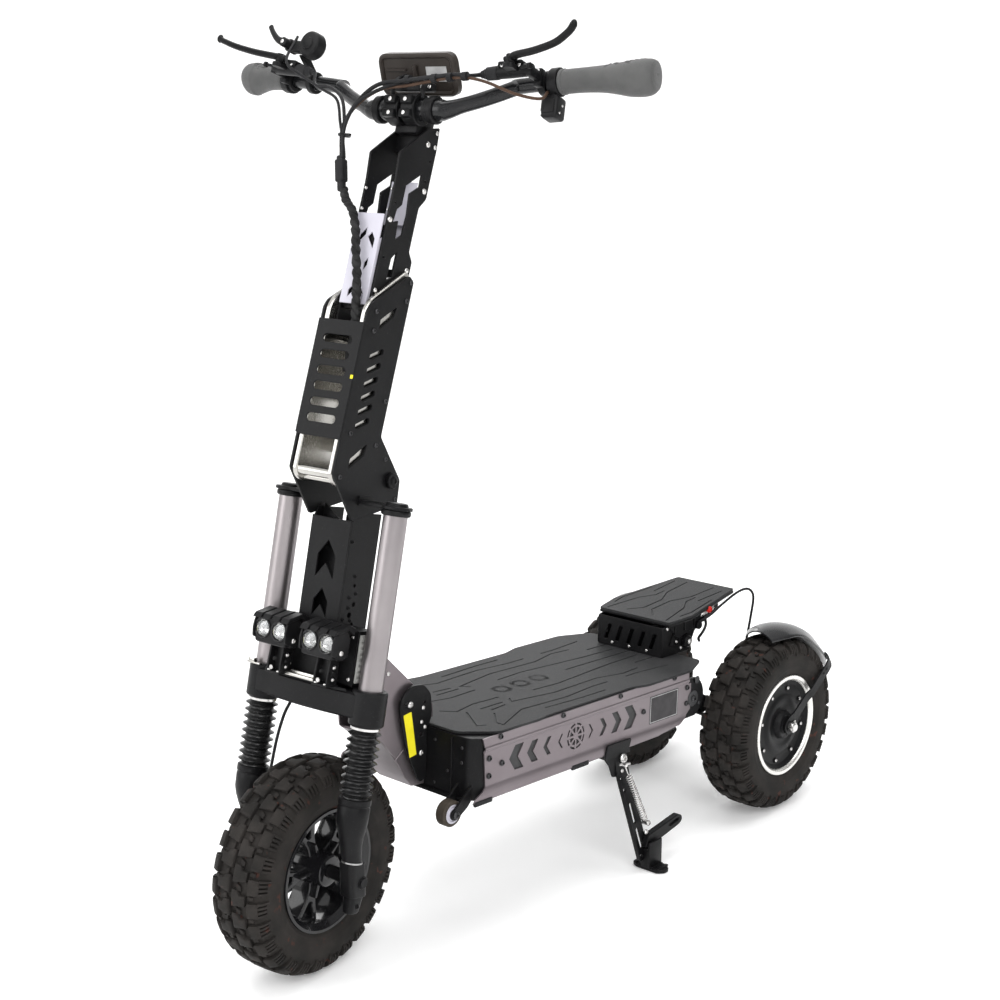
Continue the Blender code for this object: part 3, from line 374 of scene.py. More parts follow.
def rounded(outline, radius, segments=3):
    """A polygon with its corners rounded; radius may be one number or one for each corner."""
    result = []
    count = len(outline)
    for i, point in enumerate(outline):
        here = Vector(point)
        before = Vector(outline[i - 1]) - here
        after = Vector(outline[(i + 1) % count]) - here
        wanted = radius[i] if isinstance(radius, (list, tuple)) else radius
        reach = min(wanted, before.length * 0.45, after.length * 0.45)
        a = here + before.normalized() * reach
        b = here + after.normalized() * reach
        if reach < 0.05:
            result.append(tuple(here))
            continue
        for k in range(segments + 1):
            t = k / segments
            result.append(tuple(a * (1 - t) ** 2 + here * 2 * t * (1 - t) + b * t * t))
    return result


def inset(outline, distance):
    """A polygon moved inwards by a distance (outwards for a negative one)."""
    area = sum(a[0] * b[1] - b[0] * a[1] for a, b in zip(outline, outline[1:] + outline[:1]))
    sign = 1 if area > 0 else -1
    result = []
    for i, point in enumerate(outline):
        here = Vector(point)
        first = (here - Vector(outline[i - 1])).normalized()
        second = (Vector(outline[(i + 1) % len(outline)]) - here).normalized()
        normal = Vector((-first.y - second.y, first.x + second.x)) * sign
        if normal.length < 1e-6:
            normal = Vector((-first.y, first.x)) * sign
        normal.normalize()
        half = max(0.35, normal.dot(Vector((-first.y, first.x)) * sign))
        result.append(tuple(here + normal * (distance / half)))
    return result


def plate(outline, low, high, axis="X", holes=(), edge=0.5):
    """A flat plate with holes and chamfered edges, extruded along an axis."""
    place = {"X": lambda u, v, h: (h, u, v), "Y": lambda u, v, h: (u, h, v), "Z": lambda u, v, h: (u, v, h)}[axis]
    bm = bmesh.new()
    loops = [(outline, edge)] + [(hole, -edge) for hole in holes]
    caps = {0: [], 3: []}
    for loop, chamfer in loops:
        levels = [(inset(loop, chamfer), low), (loop, low + edge), (loop, high - edge), (inset(loop, chamfer), high)]
        rings = [[bm.verts.new(place(u, v, h)) for u, v in points] for points, h in levels]
        for lower, upper in zip(rings, rings[1:]):
            for i in range(len(loop)):
                j = (i + 1) % len(loop)
                bm.faces.new((lower[i], lower[j], upper[j], upper[i]))
        for level in caps:
            ring = rings[level]
            caps[level] += [bm.edges.get((ring[i - 1], ring[i])) for i in range(len(ring))]
    for edges in caps.values():
        bmesh.ops.triangle_fill(bm, edges=edges, use_beauty=True)
    bmesh.ops.recalc_face_normals(bm, faces=bm.faces)
    return bm


def rect(u0, u1, v0, v1):
    return [(u0, v0), (u1, v0), (u1, v1), (u0, v1)]


def whole(half):
    """An outline from its half on the positive side, drawn down its edge."""
    return half + [(-x, v) for x, v in reversed(half)]


def span(side, near, far):
    """Low and high X between two distances from the middle, on one side."""
    return sorted((side * near, side * far))


def side_plate(outline, side, near, far, holes=(), edge=0.5):
    """A plate that faces sideways, on one side of the middle."""
    return plate(outline, *span(side, near, far), "X", holes, edge)


def forward(outline):
    """Forward-and-up coordinates turned into a frame's Y and Z."""
    return [(-u, v) for u, v in outline]


def cross_axes(normal):
    side = normal.orthogonal().normalized()
    return side, normal.cross(side)


def hexagon(turn):
    """Distance to a hexagon's edge at a turn, for an inner radius of 1."""
    return 1 / math.cos((turn + math.pi / 6) % (math.pi / 3) - math.pi / 6)


def bolt(where, normal, radius=3.6, height=None, washer=0.0):
    """A button-head screw standing on a surface point; negative radii in its outline are its hexagon socket."""
    height = height or radius * 0.62
    normal = Vector(normal).normalized()
    side, other = cross_axes(normal)
    count = 24
    profile = [(-0.4, radius), (height * 0.45, radius), (height * 0.85, radius * 0.82), (height, radius * 0.62)]
    if washer:
        raised = [(h + 1.1, r) for h, r in profile[1:]]
        profile = [(-0.4, washer), (0.9, washer), (1.1, washer - 0.4), (1.1, radius), *raised]
        height += 1.1
    profile += [(height, -radius * 0.5), (height * 0.4, -radius * 0.5), (height * 0.35, -radius * 0.1)]
    rings = []
    for along, r in profile:
        ring = []
        for k in range(count):
            turn = TAU * k / count
            reach = r if r > 0 else -r * hexagon(turn)
            ring.append(Vector(where) + normal * along + (side * math.cos(turn) + other * math.sin(turn)) * reach)
        rings.append(ring)
    return skin(rings)


def side_bolt(side, x, y, z, radius=3.6, height=None, washer=0.0):
    """A screw on a surface that faces sideways, x from the middle."""
    return bolt((side * x, y, z), (side, 0, 0), radius, height, washer=washer)


def nut(where, normal, radius, height):
    """A hexagon nut with chamfered corners."""
    normal = Vector(normal).normalized()
    side, other = cross_axes(normal)
    rings = []
    for along, share in ((0, 0.93), (height * 0.12, 1.0), (height * 0.86, 1.0), (height, 0.9)):
        ring = []
        for k in range(36):
            turn = TAU * k / 36
            reach = min(radius * 0.9 * hexagon(turn), radius * share)
            ring.append(Vector(where) + normal * along + (side * math.cos(turn) + other * math.sin(turn)) * reach)
        rings.append(ring)
    return skin(rings)


def emit(name, bm, place, material, body, stands_for=None, sharp=35):
    """Make a visible piece from a bmesh in a design frame and tie it to its body.

    A body given as (first, second, start, end) is not followed: the piece stays fixed where it is, tied to no body.
    """
    bm.transform(place @ Matrix.Scale(MM, 4))
    bmesh.ops.recalc_face_normals(bm, faces=bm.faces)
    mesh = bpy.data.meshes.new(name)
    bm.to_mesh(mesh)
    bm.free()
    mesh.materials.append(material)
    mesh.shade_smooth()
    mesh.set_sharp_from_angle(angle=math.radians(sharp))
    piece = bpy.data.objects.new(name, mesh)
    bpy.context.scene.collection.objects.link(piece)
    if isinstance(body, tuple):
        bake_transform(piece)
    else:
        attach(piece, body)
    if stands_for:
        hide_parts(stands_for)
    return piece


# ---- tyres

CARCASS = [(0, 158), (12, 157.8), (24, 156.6), (36, 153), (43, 147.5), (47.2, 140), (49.3, 130), (49, 118), (46.8, 108),
        (44.2, 101), (42.4, 97), (41.2, 92), (40.6, 88.6)]
WALL = spline(CARCASS, 4)
TREAD_COUNT = 28
TREAD_PITCH = TAU / TREAD_COUNT
TREAD_R = 160.0


def wall_point(across):
    """Point and outward normal on the tyre's wall at a distance along it from the crown."""
    side = 1 if across >= 0 else -1
    left = abs(across)
    for (x0, r0), (x1, r1) in zip(WALL, WALL[1:]):
        step = math.hypot(x1 - x0, r1 - r0)
        if left <= step or (x1, r1) == WALL[-1]:
            t = left / step
            normal = (-(r1 - r0) / step, (x1 - x0) / step)
            return side * (x0 + (x1 - x0) * t), r0 + (r1 - r0) * t, side * normal[0], normal[1]
        left -= step


def tread_block(bm, turn, span, edges, heights, rows=5, columns=3):
    """A raised block over part of the wall; edges(t) gives its ends along the tread at share t across it."""
    shares_v = [0, 0.06] + [k / rows for k in range(1, rows)] + [0.94, 1]
    shares_u = [0, 0.08] + [k / columns for k in range(1, columns)] + [0.92, 1]
    grid = []
    for j, t in enumerate(shares_v):
        across = span[0] + (span[1] - span[0]) * t
        x, r, nx, nr = wall_point(across)
        height = heights[0] + (heights[1] - heights[0]) * t
        low, high = edges(t)
        row = []
        for i, s in enumerate(shares_u):
            rim = i in (0, len(shares_u) - 1) or j in (0, len(shares_v) - 1)
            lift = height - (1.1 if rim else 0)
            along = turn + (low + (high - low) * s) / TREAD_R
            radius = r + nr * lift
            row.append(bm.verts.new((x + nx * lift, radius * math.sin(along), radius * math.cos(along))))
        grid.append(row)
    for a, b in zip(grid, grid[1:]):
        for i in range(len(a) - 1):
            bm.faces.new((a[i], a[i + 1], b[i + 1], b[i]))
    loop = grid[0] + [row[-1] for row in grid[1:-1]] + grid[-1][::-1] + [row[0] for row in grid[-2:0:-1]]
    foot = []
    for vert in loop:
        radius = math.hypot(vert.co.y, vert.co.z)
        pull = 9.5
        reach = math.hypot(abs(vert.co.x) * 0.55, radius - 125)
        x = vert.co.x * (1 - pull * 0.55 / max(reach, 20) * 0.55)
        scale = (radius - pull * (radius - 125) / max(reach, 20)) / radius
        foot.append(bm.verts.new((x, vert.co.y * scale, vert.co.z * scale)))
    for i in range(len(loop)):
        j = (i + 1) % len(loop)
        bm.faces.new((loop[j], loop[i], foot[i], foot[j]))


def tyre():
    """Carcass with moulded rings on its walls, and the rows of tread blocks."""
    outer = [(x, r) for x, r in WALL]
    for at_radius in (101.5, 112.5):
        outer = [(x + 0.7 * math.exp(-((r - at_radius) / 0.9) ** 2), r) for x, r in outer]
    inner = [(30, 88.6), (33, 101), (43, 130), (34, 147), (0, 151)]
    loop = outer + inner[:-1] + [(0, 151)] + [(-x, r) for x, r in reversed(inner[:-1])]
    loop += [(-x, r) for x, r in reversed(outer[1:])]
    shape = lathe(loop, segments=168)
    blocks = bmesh.new()
    for k in range(TREAD_COUNT):
        for side in (1, -1):
            turn = (k + (0.5 if side < 0 else 0)) * TREAD_PITCH
            centre = turn + 9 / TREAD_R
            tread_block(blocks, centre, (side * 2.4, side * 25.5),
                    lambda t: (-13.0 + 4.0 * t, 12.5 if t < 0.5 else 5.5), (6.6, 7.0))
            tread_block(blocks, centre, (side * 9, side * 17), lambda t: (11, 22 - 4 * t), (3.4, 3.4), 2, 2)
            tread_block(blocks, turn - 6 / TREAD_R, (side * 29, side * 43), lambda t: (-11.5, 11.5), (7.2, 6.4), 3, 3)
            tread_block(blocks, turn - 6 / TREAD_R, (side * 42, side * 60), lambda t: (8.2, 12.4), (6.4, 2.6), 4, 2)
            for finger in (-1.42, -0.46, 0.5):
                tread_block(blocks, turn - 6 / TREAD_R, (side * 42, side * 55.5),
                        lambda t, f=finger: (f * 7.2 - 1.8, f * 7.2 + 2.6), (6.4, 3.2), 3, 2)
            tread_block(blocks, turn + 12 / TREAD_R, (side * 28, side * 37), lambda t: (-3, 3.2), (2.6, 2.6), 2, 2)
    bmesh.ops.recalc_face_normals(blocks, faces=blocks.faces)
    return join(shape, blocks)


# ---- front wheel and fork


def arc(radius, turns, centre=(0, 0)):
    """Points of a circle at the given turns."""
    return [(radius * math.cos(t) + centre[0], radius * math.sin(t) + centre[1]) for t in turns]


def circle(count, radius, centre=(0, 0)):
    return arc(radius, [TAU * k / count for k in range(count)], centre)


def front_rim():
    barrel = lathe([(45, 91), (45, 95.4), (44, 96), (42.4, 96), (41.4, 94.5), (41, 88.2), (-41, 88.2), (-41.4, 94.5),
            (-42.4, 96), (-44, 96), (-45, 95.4), (-45, 91), (-40, 86), (-36, 82.6), (36, 82.6), (40, 86)], segments=128)
    hub = lathe([(47, 10.5), (47, 21), (45, 24), (38, 26), (12, 27), (-12, 27), (-38, 26), (-45, 24), (-47, 21),
            (-47, 10.5)], segments=64)
    shapes = [barrel, hub]
    for k in range(5):
        outline = rounded([(-10.5, 20), (-8, 44), (-25, 87), (25, 87), (8, 44), (10.5, 20)], [1, 14, 2, 2, 14, 1], 4)
        window = rounded([(-3.4, 55), (-13.5, 79.5), (13.5, 79.5), (3.4, 55)], [2.6, 3, 3, 2.6], 4)
        spoke = plate(outline, -12, 22, "X", [window], 1.6)
        rib = plate(rounded([(-3, 22), (-2, 46), (2, 46), (3, 22)], 0.6), 20, 31, "X", edge=1.0)
        spoke = join(spoke, rib)
        shapes.append(turned(spoke, Matrix.Rotation(TAU * k / 5 + 0.32, 4, "X")))
        turn = TAU * k / 5 + 0.6
        shapes.append(bolt((44.6, math.sin(turn) * 19.5, math.cos(turn) * 19.5), (1, 0, 0), 3.0))
    return join(*shapes)


def brake_disc():
    outline = [arc(70 - 1.3 * (0.5 + 0.5 * math.cos(k * TAU / 10)), [TAU * k / 120])[0] for k in range(120)]
    holes = []
    for k in range(6):
        turn = TAU * k / 6
        window = arc(52, [turn + a for a in (-0.38, -0.19, 0, 0.19, 0.38)]) + arc(34,
                [turn + a for a in (0.26, 0, -0.26)])
        holes.append(rounded(window, 2.5, 2))
        holes += [circle(10, 2.0, *arc(reach, [turn + extra]))
                for reach, extra in ((65, 0.0), (60.5, 0.17), (65, 0.34), (57.5, 0.5), (63, 0.7), (58.5, 0.86))]
    holes.append(circle(48, 12))
    return plate(outline, -50.5, -48.2, "X", holes, 0.3)


LEG = [(131.2, 22.8, 22.8, 2), (130.2, 24.2, 24.2, 2), (122, 24.4, 24.4, 2), (121, 23.2, 23.2, 2),
        (118.5, 23.2, 23.2, 2), (117, 24, 24, 2), (96, 23.6, 23.6, 2), (84, 21.6, 21.8, 2), (72, 18.4, 18.6, 2),
        (58, 16.2, 16.8, 2), (40, 15.2, 16, 2), (33.4, 14.9, 15.8, 2), (33, 14.0, 15.0, 2), (30.6, 14.0, 15.0, 2),
        (30.2, 13.2, 17.2, 4.5), (28, 13.6, 17.8, 5), (-21, 13.6, 17.6, 5), (-23.4, 12.6, 16.6, 5),
        (-23.8, 10.6, 14.6, 4), (-47, 9.4, 11.6, 3.4), (-49.8, 8.0, 9.6, 3)]
LEG_LINE = [(131.2, 102, 32.5), (92, 102, 32.5), (72, 101.5, 29), (45, 99, 20), (15, 96.4, 5), (-25, 95, -5),
        (-50, 94, -5)]


def along_line(table, value):
    """Linear interpolation of a falling table's columns."""
    for low, high in zip(table, table[1:]):
        if value >= high[0]:
            t = (value - low[0]) / (high[0] - low[0])
            return [a + (b - a) * t for a, b in zip(low[1:], high[1:])]
    return list(table[-1][1:])


def fork_leg(side):
    rings = []
    for up, half_x, half_f, power in LEG:
        across, ahead = along_line(LEG_LINE, up)
        ring = []
        for k in range(48):
            turn = TAU * k / 48
            c, s = math.cos(turn), math.sin(turn)
            ring.append((side * across + half_x * math.copysign(abs(c) ** (2 / power), c),
                    -ahead + half_f * math.copysign(abs(s) ** (2 / power), s), up))
        rings.append(ring)
    shape = skin(rings)
    outer = side * 107.4
    shape = join(shape, side_bolt(side, 103, AXLE_BEHIND + 2, -38, 4.2, 3),
            bolt((side * 98, -18, 38), (0, -1, 0.1), 2.6),
            rod((side * 100, AXLE_BEHIND, 0), (outer, AXLE_BEHIND, 0), 9.6))
    return shape


def about_tube(side, profile, segments):
    """A profile turned about a fork tube's line."""
    return lathe(profile, (side * TUBE_X, TUBE_Y, 0), "Z", segments)


def gaiter(side):
    low, high, pleats = 130.6, 237.4, 9
    outer = [(low, 20.5), (low + 2.5, 20.5)]
    step = (high - low - 9) / pleats
    for i in range(pleats):
        start = low + 3.5 + i * step
        outer += [(start, 18.6), (start + step * 0.2, 19.4), (start + step * 0.42, 24.2), (start + step * 0.5, 25),
                (start + step * 0.58, 24.2), (start + step * 0.8, 19.4)]
    outer += [(high - 5.5, 18.6), (high - 5, 20.6), (high, 20.6)]
    return about_tube(side, outer + [(high, 15.2), (low, 15.2)], 56)


def fork_tube(side):
    return about_tube(side, [(108, 10), (108, 14), (241, 14), (241, 18), (547, 18), (547, 10)], 72)


def tube_cap(side):
    """Dark collar round the tube's top, under the arm of the stem plate."""
    return about_tube(side, [(546, 10), (546, 20), (547.2, 21.4), (549, 22), (552.4, 22), (553.8, 21.2), (554.5, 19.6),
            (554.5, 10)], 64)


def lower_clamp():
    half = [(0, 66.5), (20, 66), (44, 63.8), (66, 60.2), (84, 58), (104, 58.5), (120, 51.5), (128, 40), (128, 26),
            (119, 13), (104, 6.4), (80, -1), (56, -8), (40, -18), (28, -27), (12, -29)]
    outline = [(x, -f) for x, f in half] + [(-x, -f) for x, f in reversed(half[1:])]
    body = plate(outline, 247, 285, "Z", [circle(40, 18.3, (s * TUBE_X, TUBE_Y)) for s in (1, -1)], 3.2)
    shapes = [body, rod((0, 0, 284), (0, 0, 532), 12.5, 40)]
    for side in (1, -1):
        shapes += [about_tube(side, [(238, 18.3), (238, 24.5), (240, 26.3), (287.6, 26.3), (289.5, 24.6),
                (289.5, 18.3)], 64), slab(side * TUBE_X - 7, side * TUBE_X + 7, -10, 0.5, 246, 280, 2)]
        shapes += [side_bolt(side, 109, -5, up, 4.4, 3.4) for up in (253, 272)]
    ridge = plate(rounded([(-80, -61), (80, -61), (64, -66), (-64, -66)], 1), 284, 288.8, "Z", edge=0.8)
    return join(*shapes, ridge)


def chevron(centre, width, height, rise):
    """An arrow outline pointing up, in two coordinates."""
    u, v = centre
    return [(u - width / 2, v - height / 2), (u, v - height / 2 + rise), (u + width / 2, v - height / 2),
            (u + width / 2, v + height / 2 - rise), (u, v + height / 2), (u - width / 2, v + height / 2 - rise)]


def steering_column():
    """Front panel with three chevron windows, and folded side walls with their screws."""
    chevrons = [chevron((0, 466), 34, 56, 22), chevron((0, 401), 27, 42, 18), chevron((0, 346), 15, 26, 10)]
    front = plate(rect(-38, 38, 286.4, 527), -52, -48.5, "Y", chevrons, 0.6)
    shapes = [front]
    for side in (1, -1):
        holes = [circle(16, r, (-f, s)) for f, s, r in ((20, 404, 3.4), (27, 388, 4.2), (19, 374, 3), (24, 432, 2.6))]
        wall = plate(rounded(forward([(48.5, 286.4), (48.5, 527), (42, 540), (-16, 540), (-16, 358), (15, 342),
                (15, 286.4)]), 1.5), side * 38 - (3 if side > 0 else 0), side * 38 + (0 if side > 0 else 3), "X", holes,
                0.4)
        shapes.append(wall)
        shapes += [side_bolt(side, 38, -f, s, 2.9) for f, s in ((43, 497), (26, 446), (19, 420), (32, 399), (41, 382),
                (24, 380), (33, 414))]
    shelf = plate(rect(-36, 36, -48, -15), 506, 512, "Z", [circle(24, 12.8)], 0.5)
    return join(*shapes, shelf)


def cheek(side):
    """Open-backed box beside the column, with a visor on its top."""
    low, high = (37, 80) if side > 0 else (-80, -37)
    front = plate(rounded(rect(low, high, 289.9, 372), 2), -50, -47, "Y", edge=0.5)
    top = plate(rounded(rect(low, high, -50, -12), 2), 369, 372, "Z", edge=0.5)
    base = plate(rounded(rect(low, high, -50, -12), 2), 289.9, 293, "Z", edge=0.5)
    outer = side * 80
    skirt = plate(rounded(forward([(50, 289.9), (50, 372), (12, 372), (12, 289.9)]), 1.5), min(outer, outer - side * 3),
            max(outer, outer - side * 3), "X", [circle(16, 3.2, (-30, 350)), circle(16, 2.4, (-22, 318))], 0.4)
    visor = plate(rounded([(side * 42, -50), (side * 78, -50), (side * 74, -62), (side * 46, -62)], 2), 369.4, 372, "Z",
            edge=0.5)
    return join(front, top, base, skirt, visor)


def cheek_screws(side):
    shapes = [bolt((side * x, -50, s), (0, -1, 0), r) for x, s, r in ((52, 356, 3.6), (44, 334, 3.2), (72, 300, 3.0),
            (43, 300, 2.8), (70, 362, 2.4))]
    shapes += [side_bolt(side, 80, -f, s, 2.6) for f, s in ((40, 300), (20, 362), (42, 360))]
    return join(*shapes)


def light_strip(side):
    """Side light: a pale diffuser with small steps, on the outer edge of the cheek box."""
    shapes = [slab(*sorted((side * 80.2, side * 84)), -48, -37, 296, 367, 1.2)]
    shapes += [slab(*sorted((side * 84, side * 85.4)), -46.5, -38.5, 298 + k * 8.6, 303 + k * 8.6, 0.5)
            for k in range(8)]
    return join(*shapes)


LENS_UP = 352.0
LAMP_X = 46
LAMPS = (-16.2, 16.2)


def headlight_body(side):
    """Lamp housing with side ears, a finned back, a visor of four slanted ribs and its legs."""
    centre = side * LAMP_X
    profile = [(-84.5, 329), (-84.5, 376), (-72, 376), (-65, 370), (-63, 352), (-66, 334), (-72, 328.6)]
    sockets = [circle(40, 13.2, (centre + offset, LENS_UP)) for offset in LAMPS]
    shapes = [plate(rounded(profile, 2.5), centre - 30.5, centre + 30.5, "X", edge=2.2),
            plate(rounded(rect(centre - 30.5, centre + 30.5, 330, 372), 6, 4), -97.8, -84, "Y", sockets, 1.4)]
    for k in range(4):
        x = centre - 27 + 18 * k
        shapes.append(plate(rounded([(-104, 366), (-99, 373.5), (-70, 381.5), (-58, 377), (-60, 366), (-72, 374)], 1.2),
                x - 7.4, x + 7.4, "X", edge=1.0))
    shapes += [slab(centre - 26, centre + 26, -63.5, -57.5, 333 + k * 6.4, 335.4 + k * 6.4, 0.5, 1) for k in range(6)]
    shapes += [plate(rounded([(-101, 337), (-103, 352), (-100, 366), (-78, 374), (-66, 362), (-68, 336), (-78, 330)],
            3), centre + end - 1.6, centre + end + 1.6, "X", edge=0.5) for end in (-31.5, 31.5)]
    body = join(*shapes)
    legs = [plate(rounded(forward([(82, 288), (82, 302), (79, 331), (64, 331), (60, 302), (60, 288)]), 2),
            centre + offset - 1.6, centre + offset + 1.6, "X", [circle(14, 3, (-71, 306))], 0.4)
            for offset in (-12, 12)]
    legs += [slab(centre - 14, centre + 14, -84, -56, 286.6, 290, 1.0),
            slab(centre - 13.5, centre + 13.5, -70, -60, 290, 326, 1.0)]
    return join(body, *legs)


BEZEL = [(-99.8, 13.2), (-99.8, 15.2), (-98.5, 15.8), (-96, 15.8), (-90, 13.0), (-96, 12.7)]
BOWL = [(-97.6, 13.0), (-96, 12.2), (-92, 10.6), (-88, 7.6), (-86.4, 4.5), (-86, 0.01), (-85, 0.01), (-85.4, 5),
        (-87.4, 8.6), (-91, 11.6), (-95, 13.1)]
DOME = [(-98.0, 12.6), (-100.6, 9.5), (-102.2, 6), (-103, 2.5), (-103.2, 0.01), (-96.2, 0.01), (-96.2, 12.6)]


def lamp_pair(side, profile):
    """One profile turned about both lamps of a headlight."""
    return join(*[lathe(profile, (side * LAMP_X + offset, 0, LENS_UP), "Y", 48) for offset in LAMPS])


def headlight_chip(side):
    return join(*[slab(side * LAMP_X + o - 3, side * LAMP_X + o + 3, -88.5, -86.5, LENS_UP - 3, LENS_UP + 3, 0.5, 1)
            for o in LAMPS])


def headlight_screws(side):
    centre = side * LAMP_X
    shapes = []
    for end in (-1, 1):
        shapes += [bolt((centre + end * 33.1, -84, 341), (end, 0, 0), 4.2, 3),
                bolt((centre + end * 13.6, -71, 316), (end, 0, 0), 3.4, 2.6),
                bolt((centre + end * 13.6, -71, 298), (end, 0, 0), 2.8, 2.2),
                bolt((centre + end * 9, -80, 290), (0, 0, 1), 3.0, 2.2)]
    shapes.append(nut((centre, -84.2, 296), (0, -1, 0), 3.6, 3))
    return join(*shapes)


def front_caliper():
    body = slab(-63, -41, -46, -22, 34, 64, 3, 3)
    arm = plate(rounded([(-84, -36), (-60, -40), (-58, -22), (-84, -22)], 2), 42, 58, "Z", edge=1.5)
    shapes = [body, arm]
    shapes += [bolt((-63, -34, up), (-1, 0, 0), 4, 3) for up in (42, 56)]
    return join(*shapes)


HOSE_ROUTE = [(-62, -14, 236), (-66, -20, 215), (-68, -26, 180), (-68, -30, 140), (-67, -34, 105), (-62, -35, 86),
        (-60, -34, 66)]


def build_front():
    emit("front_tyre_body", tyre(), FRONT, TYRE, "front_wheel", "front_tyre", sharp=50)
    emit("front_rim_alloy", front_rim(), FRONT, GLOSS, "front_wheel", "front_rim")
    emit("front_disc", brake_disc(), FRONT, DISC, "front_wheel", "front_brake_disc")
    carrier = lathe([(-52, 12), (-52, 30), (-50.6, 32), (-47.3, 32), (-47.3, 12)], segments=48)
    emit("front_disc_carrier", carrier, FRONT, ZINC, "front_wheel")
    axle = join(rod((-111, AXLE_BEHIND, 0), (111, AXLE_BEHIND, 0), 10.0), nut((-111, AXLE_BEHIND, 0), (-1, 0, 0), 8, 2),
            nut((109, AXLE_BEHIND, 0), (1, 0, 0), 8, 4))
    emit("front_axle_bolt", axle, FORK, BLACK, "fork_lower", "front_axle")
    emit("front_caliper_body", front_caliper(), FORK, BLACK, "fork_lower", "front_caliper")
    path = spline(HOSE_ROUTE, 8)
    emit("front_hose", tube(path, 2.5, 16), FORK, RUBBER, ("fork_lower", "steering", (-64, -34, 90), (-62, -14, 232)),
            "front_brake_hose")
    for name, side in SIDES:
        emit(f"leg_{name}", fork_leg(side), FORK, BLACK, "fork_lower", f"fork_leg_{name}", sharp=40)
        clip = lathe([(30.7, 13.5), (30.7, 16.2), (32.9, 16.2), (32.9, 13.5)], (side * 97.8, -13.5, 0), "Z", 40)
        emit(f"leg_clip_{name}", clip, FORK, DISC, "fork_lower")
        emit(f"bellows_{name}", gaiter(side), FORK, GAITER,
                ("fork_lower", "steering", (side * TUBE_X, TUBE_Y, 134), (side * TUBE_X, TUBE_Y, 233)),
                f"gaiter_{name}", sharp=70)
        clip = about_tube(side, [(232.5, 20.4), (232.5, 21.6), (236, 21.6), (236, 20.4)], 48)
        emit(f"bellows_clip_{name}", clip, FORK, ZINC, "steering")
        emit(f"upper_tube_{name}", fork_tube(side), FORK, SATIN, "steering", f"fork_tube_{name}")
        emit(f"tube_cap_{name}", tube_cap(side), FORK, PLASTIC, "steering")
        emit(f"cheek_box_{name}", cheek(side), FORK, BLACK, "steering")
        emit(f"cheek_screws_{name}", cheek_screws(side), FORK, ZINC, "steering")
        emit(f"side_light_{name}", light_strip(side), FORK, LIGHT_STRIP, "steering")
        emit(f"lamp_body_{name}", headlight_body(side), FORK, PLASTIC, "steering", f"headlight_{name}")
        emit(f"lamp_bezel_{name}", lamp_pair(side, BEZEL), FORK, GLOSS, "steering")
        emit(f"lamp_bowl_{name}", lamp_pair(side, BOWL), FORK, CHROME, "steering")
        emit(f"lamp_lens_{name}", lamp_pair(side, DOME), FORK, LENS, "steering")
        emit(f"lamp_chip_{name}", headlight_chip(side), FORK, GLOW, "steering")
        emit(f"lamp_screws_{name}", headlight_screws(side), FORK, ZINC, "steering")
    emit("clamp_lower", lower_clamp(), FORK, BLACK, "steering", "lower_clamp")
    backing = plate([(-34.6, 294), (34.6, 294), (34.6, 500), (-34.6, 546)], -31, -28.4, "Y", edge=0.4)
    emit("column_backing", backing, FORK, BLACK, "steering")
    emit("column_shell", steering_column(), FORK, BLACK, "steering", "steering_column")
    mount = join(slab(-30, 26, -74, -62, 288.2, 292.6, 1), slab(-26, 22, -66, -58, 288.2, 296, 1),
            slab(-118, -92, -62, -56, 288, 291, 1), slab(-112, -100, -66, -58, 291, 297, 1))
    emit("clamp_fittings", mount, FORK, POLISH, "steering")


# ---- stem

OUTER_OUTLINE = [(62.5, -6), (62.5, 234), (57, 245.5), (-14.4, 305), (-26.4, 299), (-26, 65), (-91, 10.6), (-96.4, -27),
        (-0.5, -66)]
UPPER_OUTLINE = [(46, 200), (45, 430), (49, 471), (-3, 524), (-29, 534), (-32, 502), (-31.5, 425), (-19, 408),
        (-18, 341), (-29, 329), (-28, 200)]
INNER_OUTLINE = [(61, -8), (61, 236), (54, 252), (-12, 311), (-24, 304), (-24, 70), (-50, 36), (-70, 19), (-79, 8),
        (-77, -2), (-69, -7), (43, -22), (55, -16)]
UPPER_ZIGZAG = [(-10, 457), (20, 430), (20, 401), (29, 392), (32, 372), (21, 377), (19, 349), (6, 360), (4, 391),
        (8, 422), (-11, 438)]
UPPER_SLOT = [(9, 334), (19, 321), (20, 289), (9, 296)]
WINDOWS = ([(0, 254), (30, 228), (29, 213), (2, 239)], [(2.6, 49), (33, 21.5), (33, 7), (4, 32)])
PIN = (-67.7, 6.1)


def stem_plate(side):
    holes = [rounded(forward(w), 1.2, 2) for w in WINDOWS]
    for k in range(6):
        low = 66 + 20.5 * k
        cut = [(9, low + 13), (33, low - 1), (37, low + 1), (37, low + 6), (13, low + 20), (9, low + 18)]
        holes.append(rounded(forward(cut), 1.0, 2))
    holes.append(circle(28, 8.3, (-PIN[0], PIN[1])))
    low, high = span(side, 38.3, 43)
    return plate(rounded(forward(OUTER_OUTLINE), 4, 3), low, high, "X", holes, 0.6)


def stem_arm(side):
    """Flat arm from the stem plate's foot to the top of the fork tube, with its cap."""
    half = [(42, -52), (90, -51), (98, -55), (110, -55), (120, -50), (125, -42), (126, -32), (123, -21), (115, -12),
            (104, -9), (92, -13), (42, -20)]
    outline = [(side * x, y) for x, y in half]
    arm = plate(rounded(outline, 3), 554.9, 560, "Z", edge=0.8)
    cap = about_tube(side, [(559.5, 0.01), (559.5, 17), (563, 16.6), (564.6, 15.2), (565, 13.4), (563.4, 12.4),
            (563.4, 0.01)], 56)
    dome = about_tube(side, [(563, 0.01), (563, 11.6), (564.6, 10.8), (565, 9.4), (565, 0.01)], 48)
    gusset = side_plate(rounded([(-50, 552), (-50, 566), (-22, 566), (-22, 552)], 1.5), side, 43, 46, edge=0.4)
    return join(arm, cap, dome, gusset)


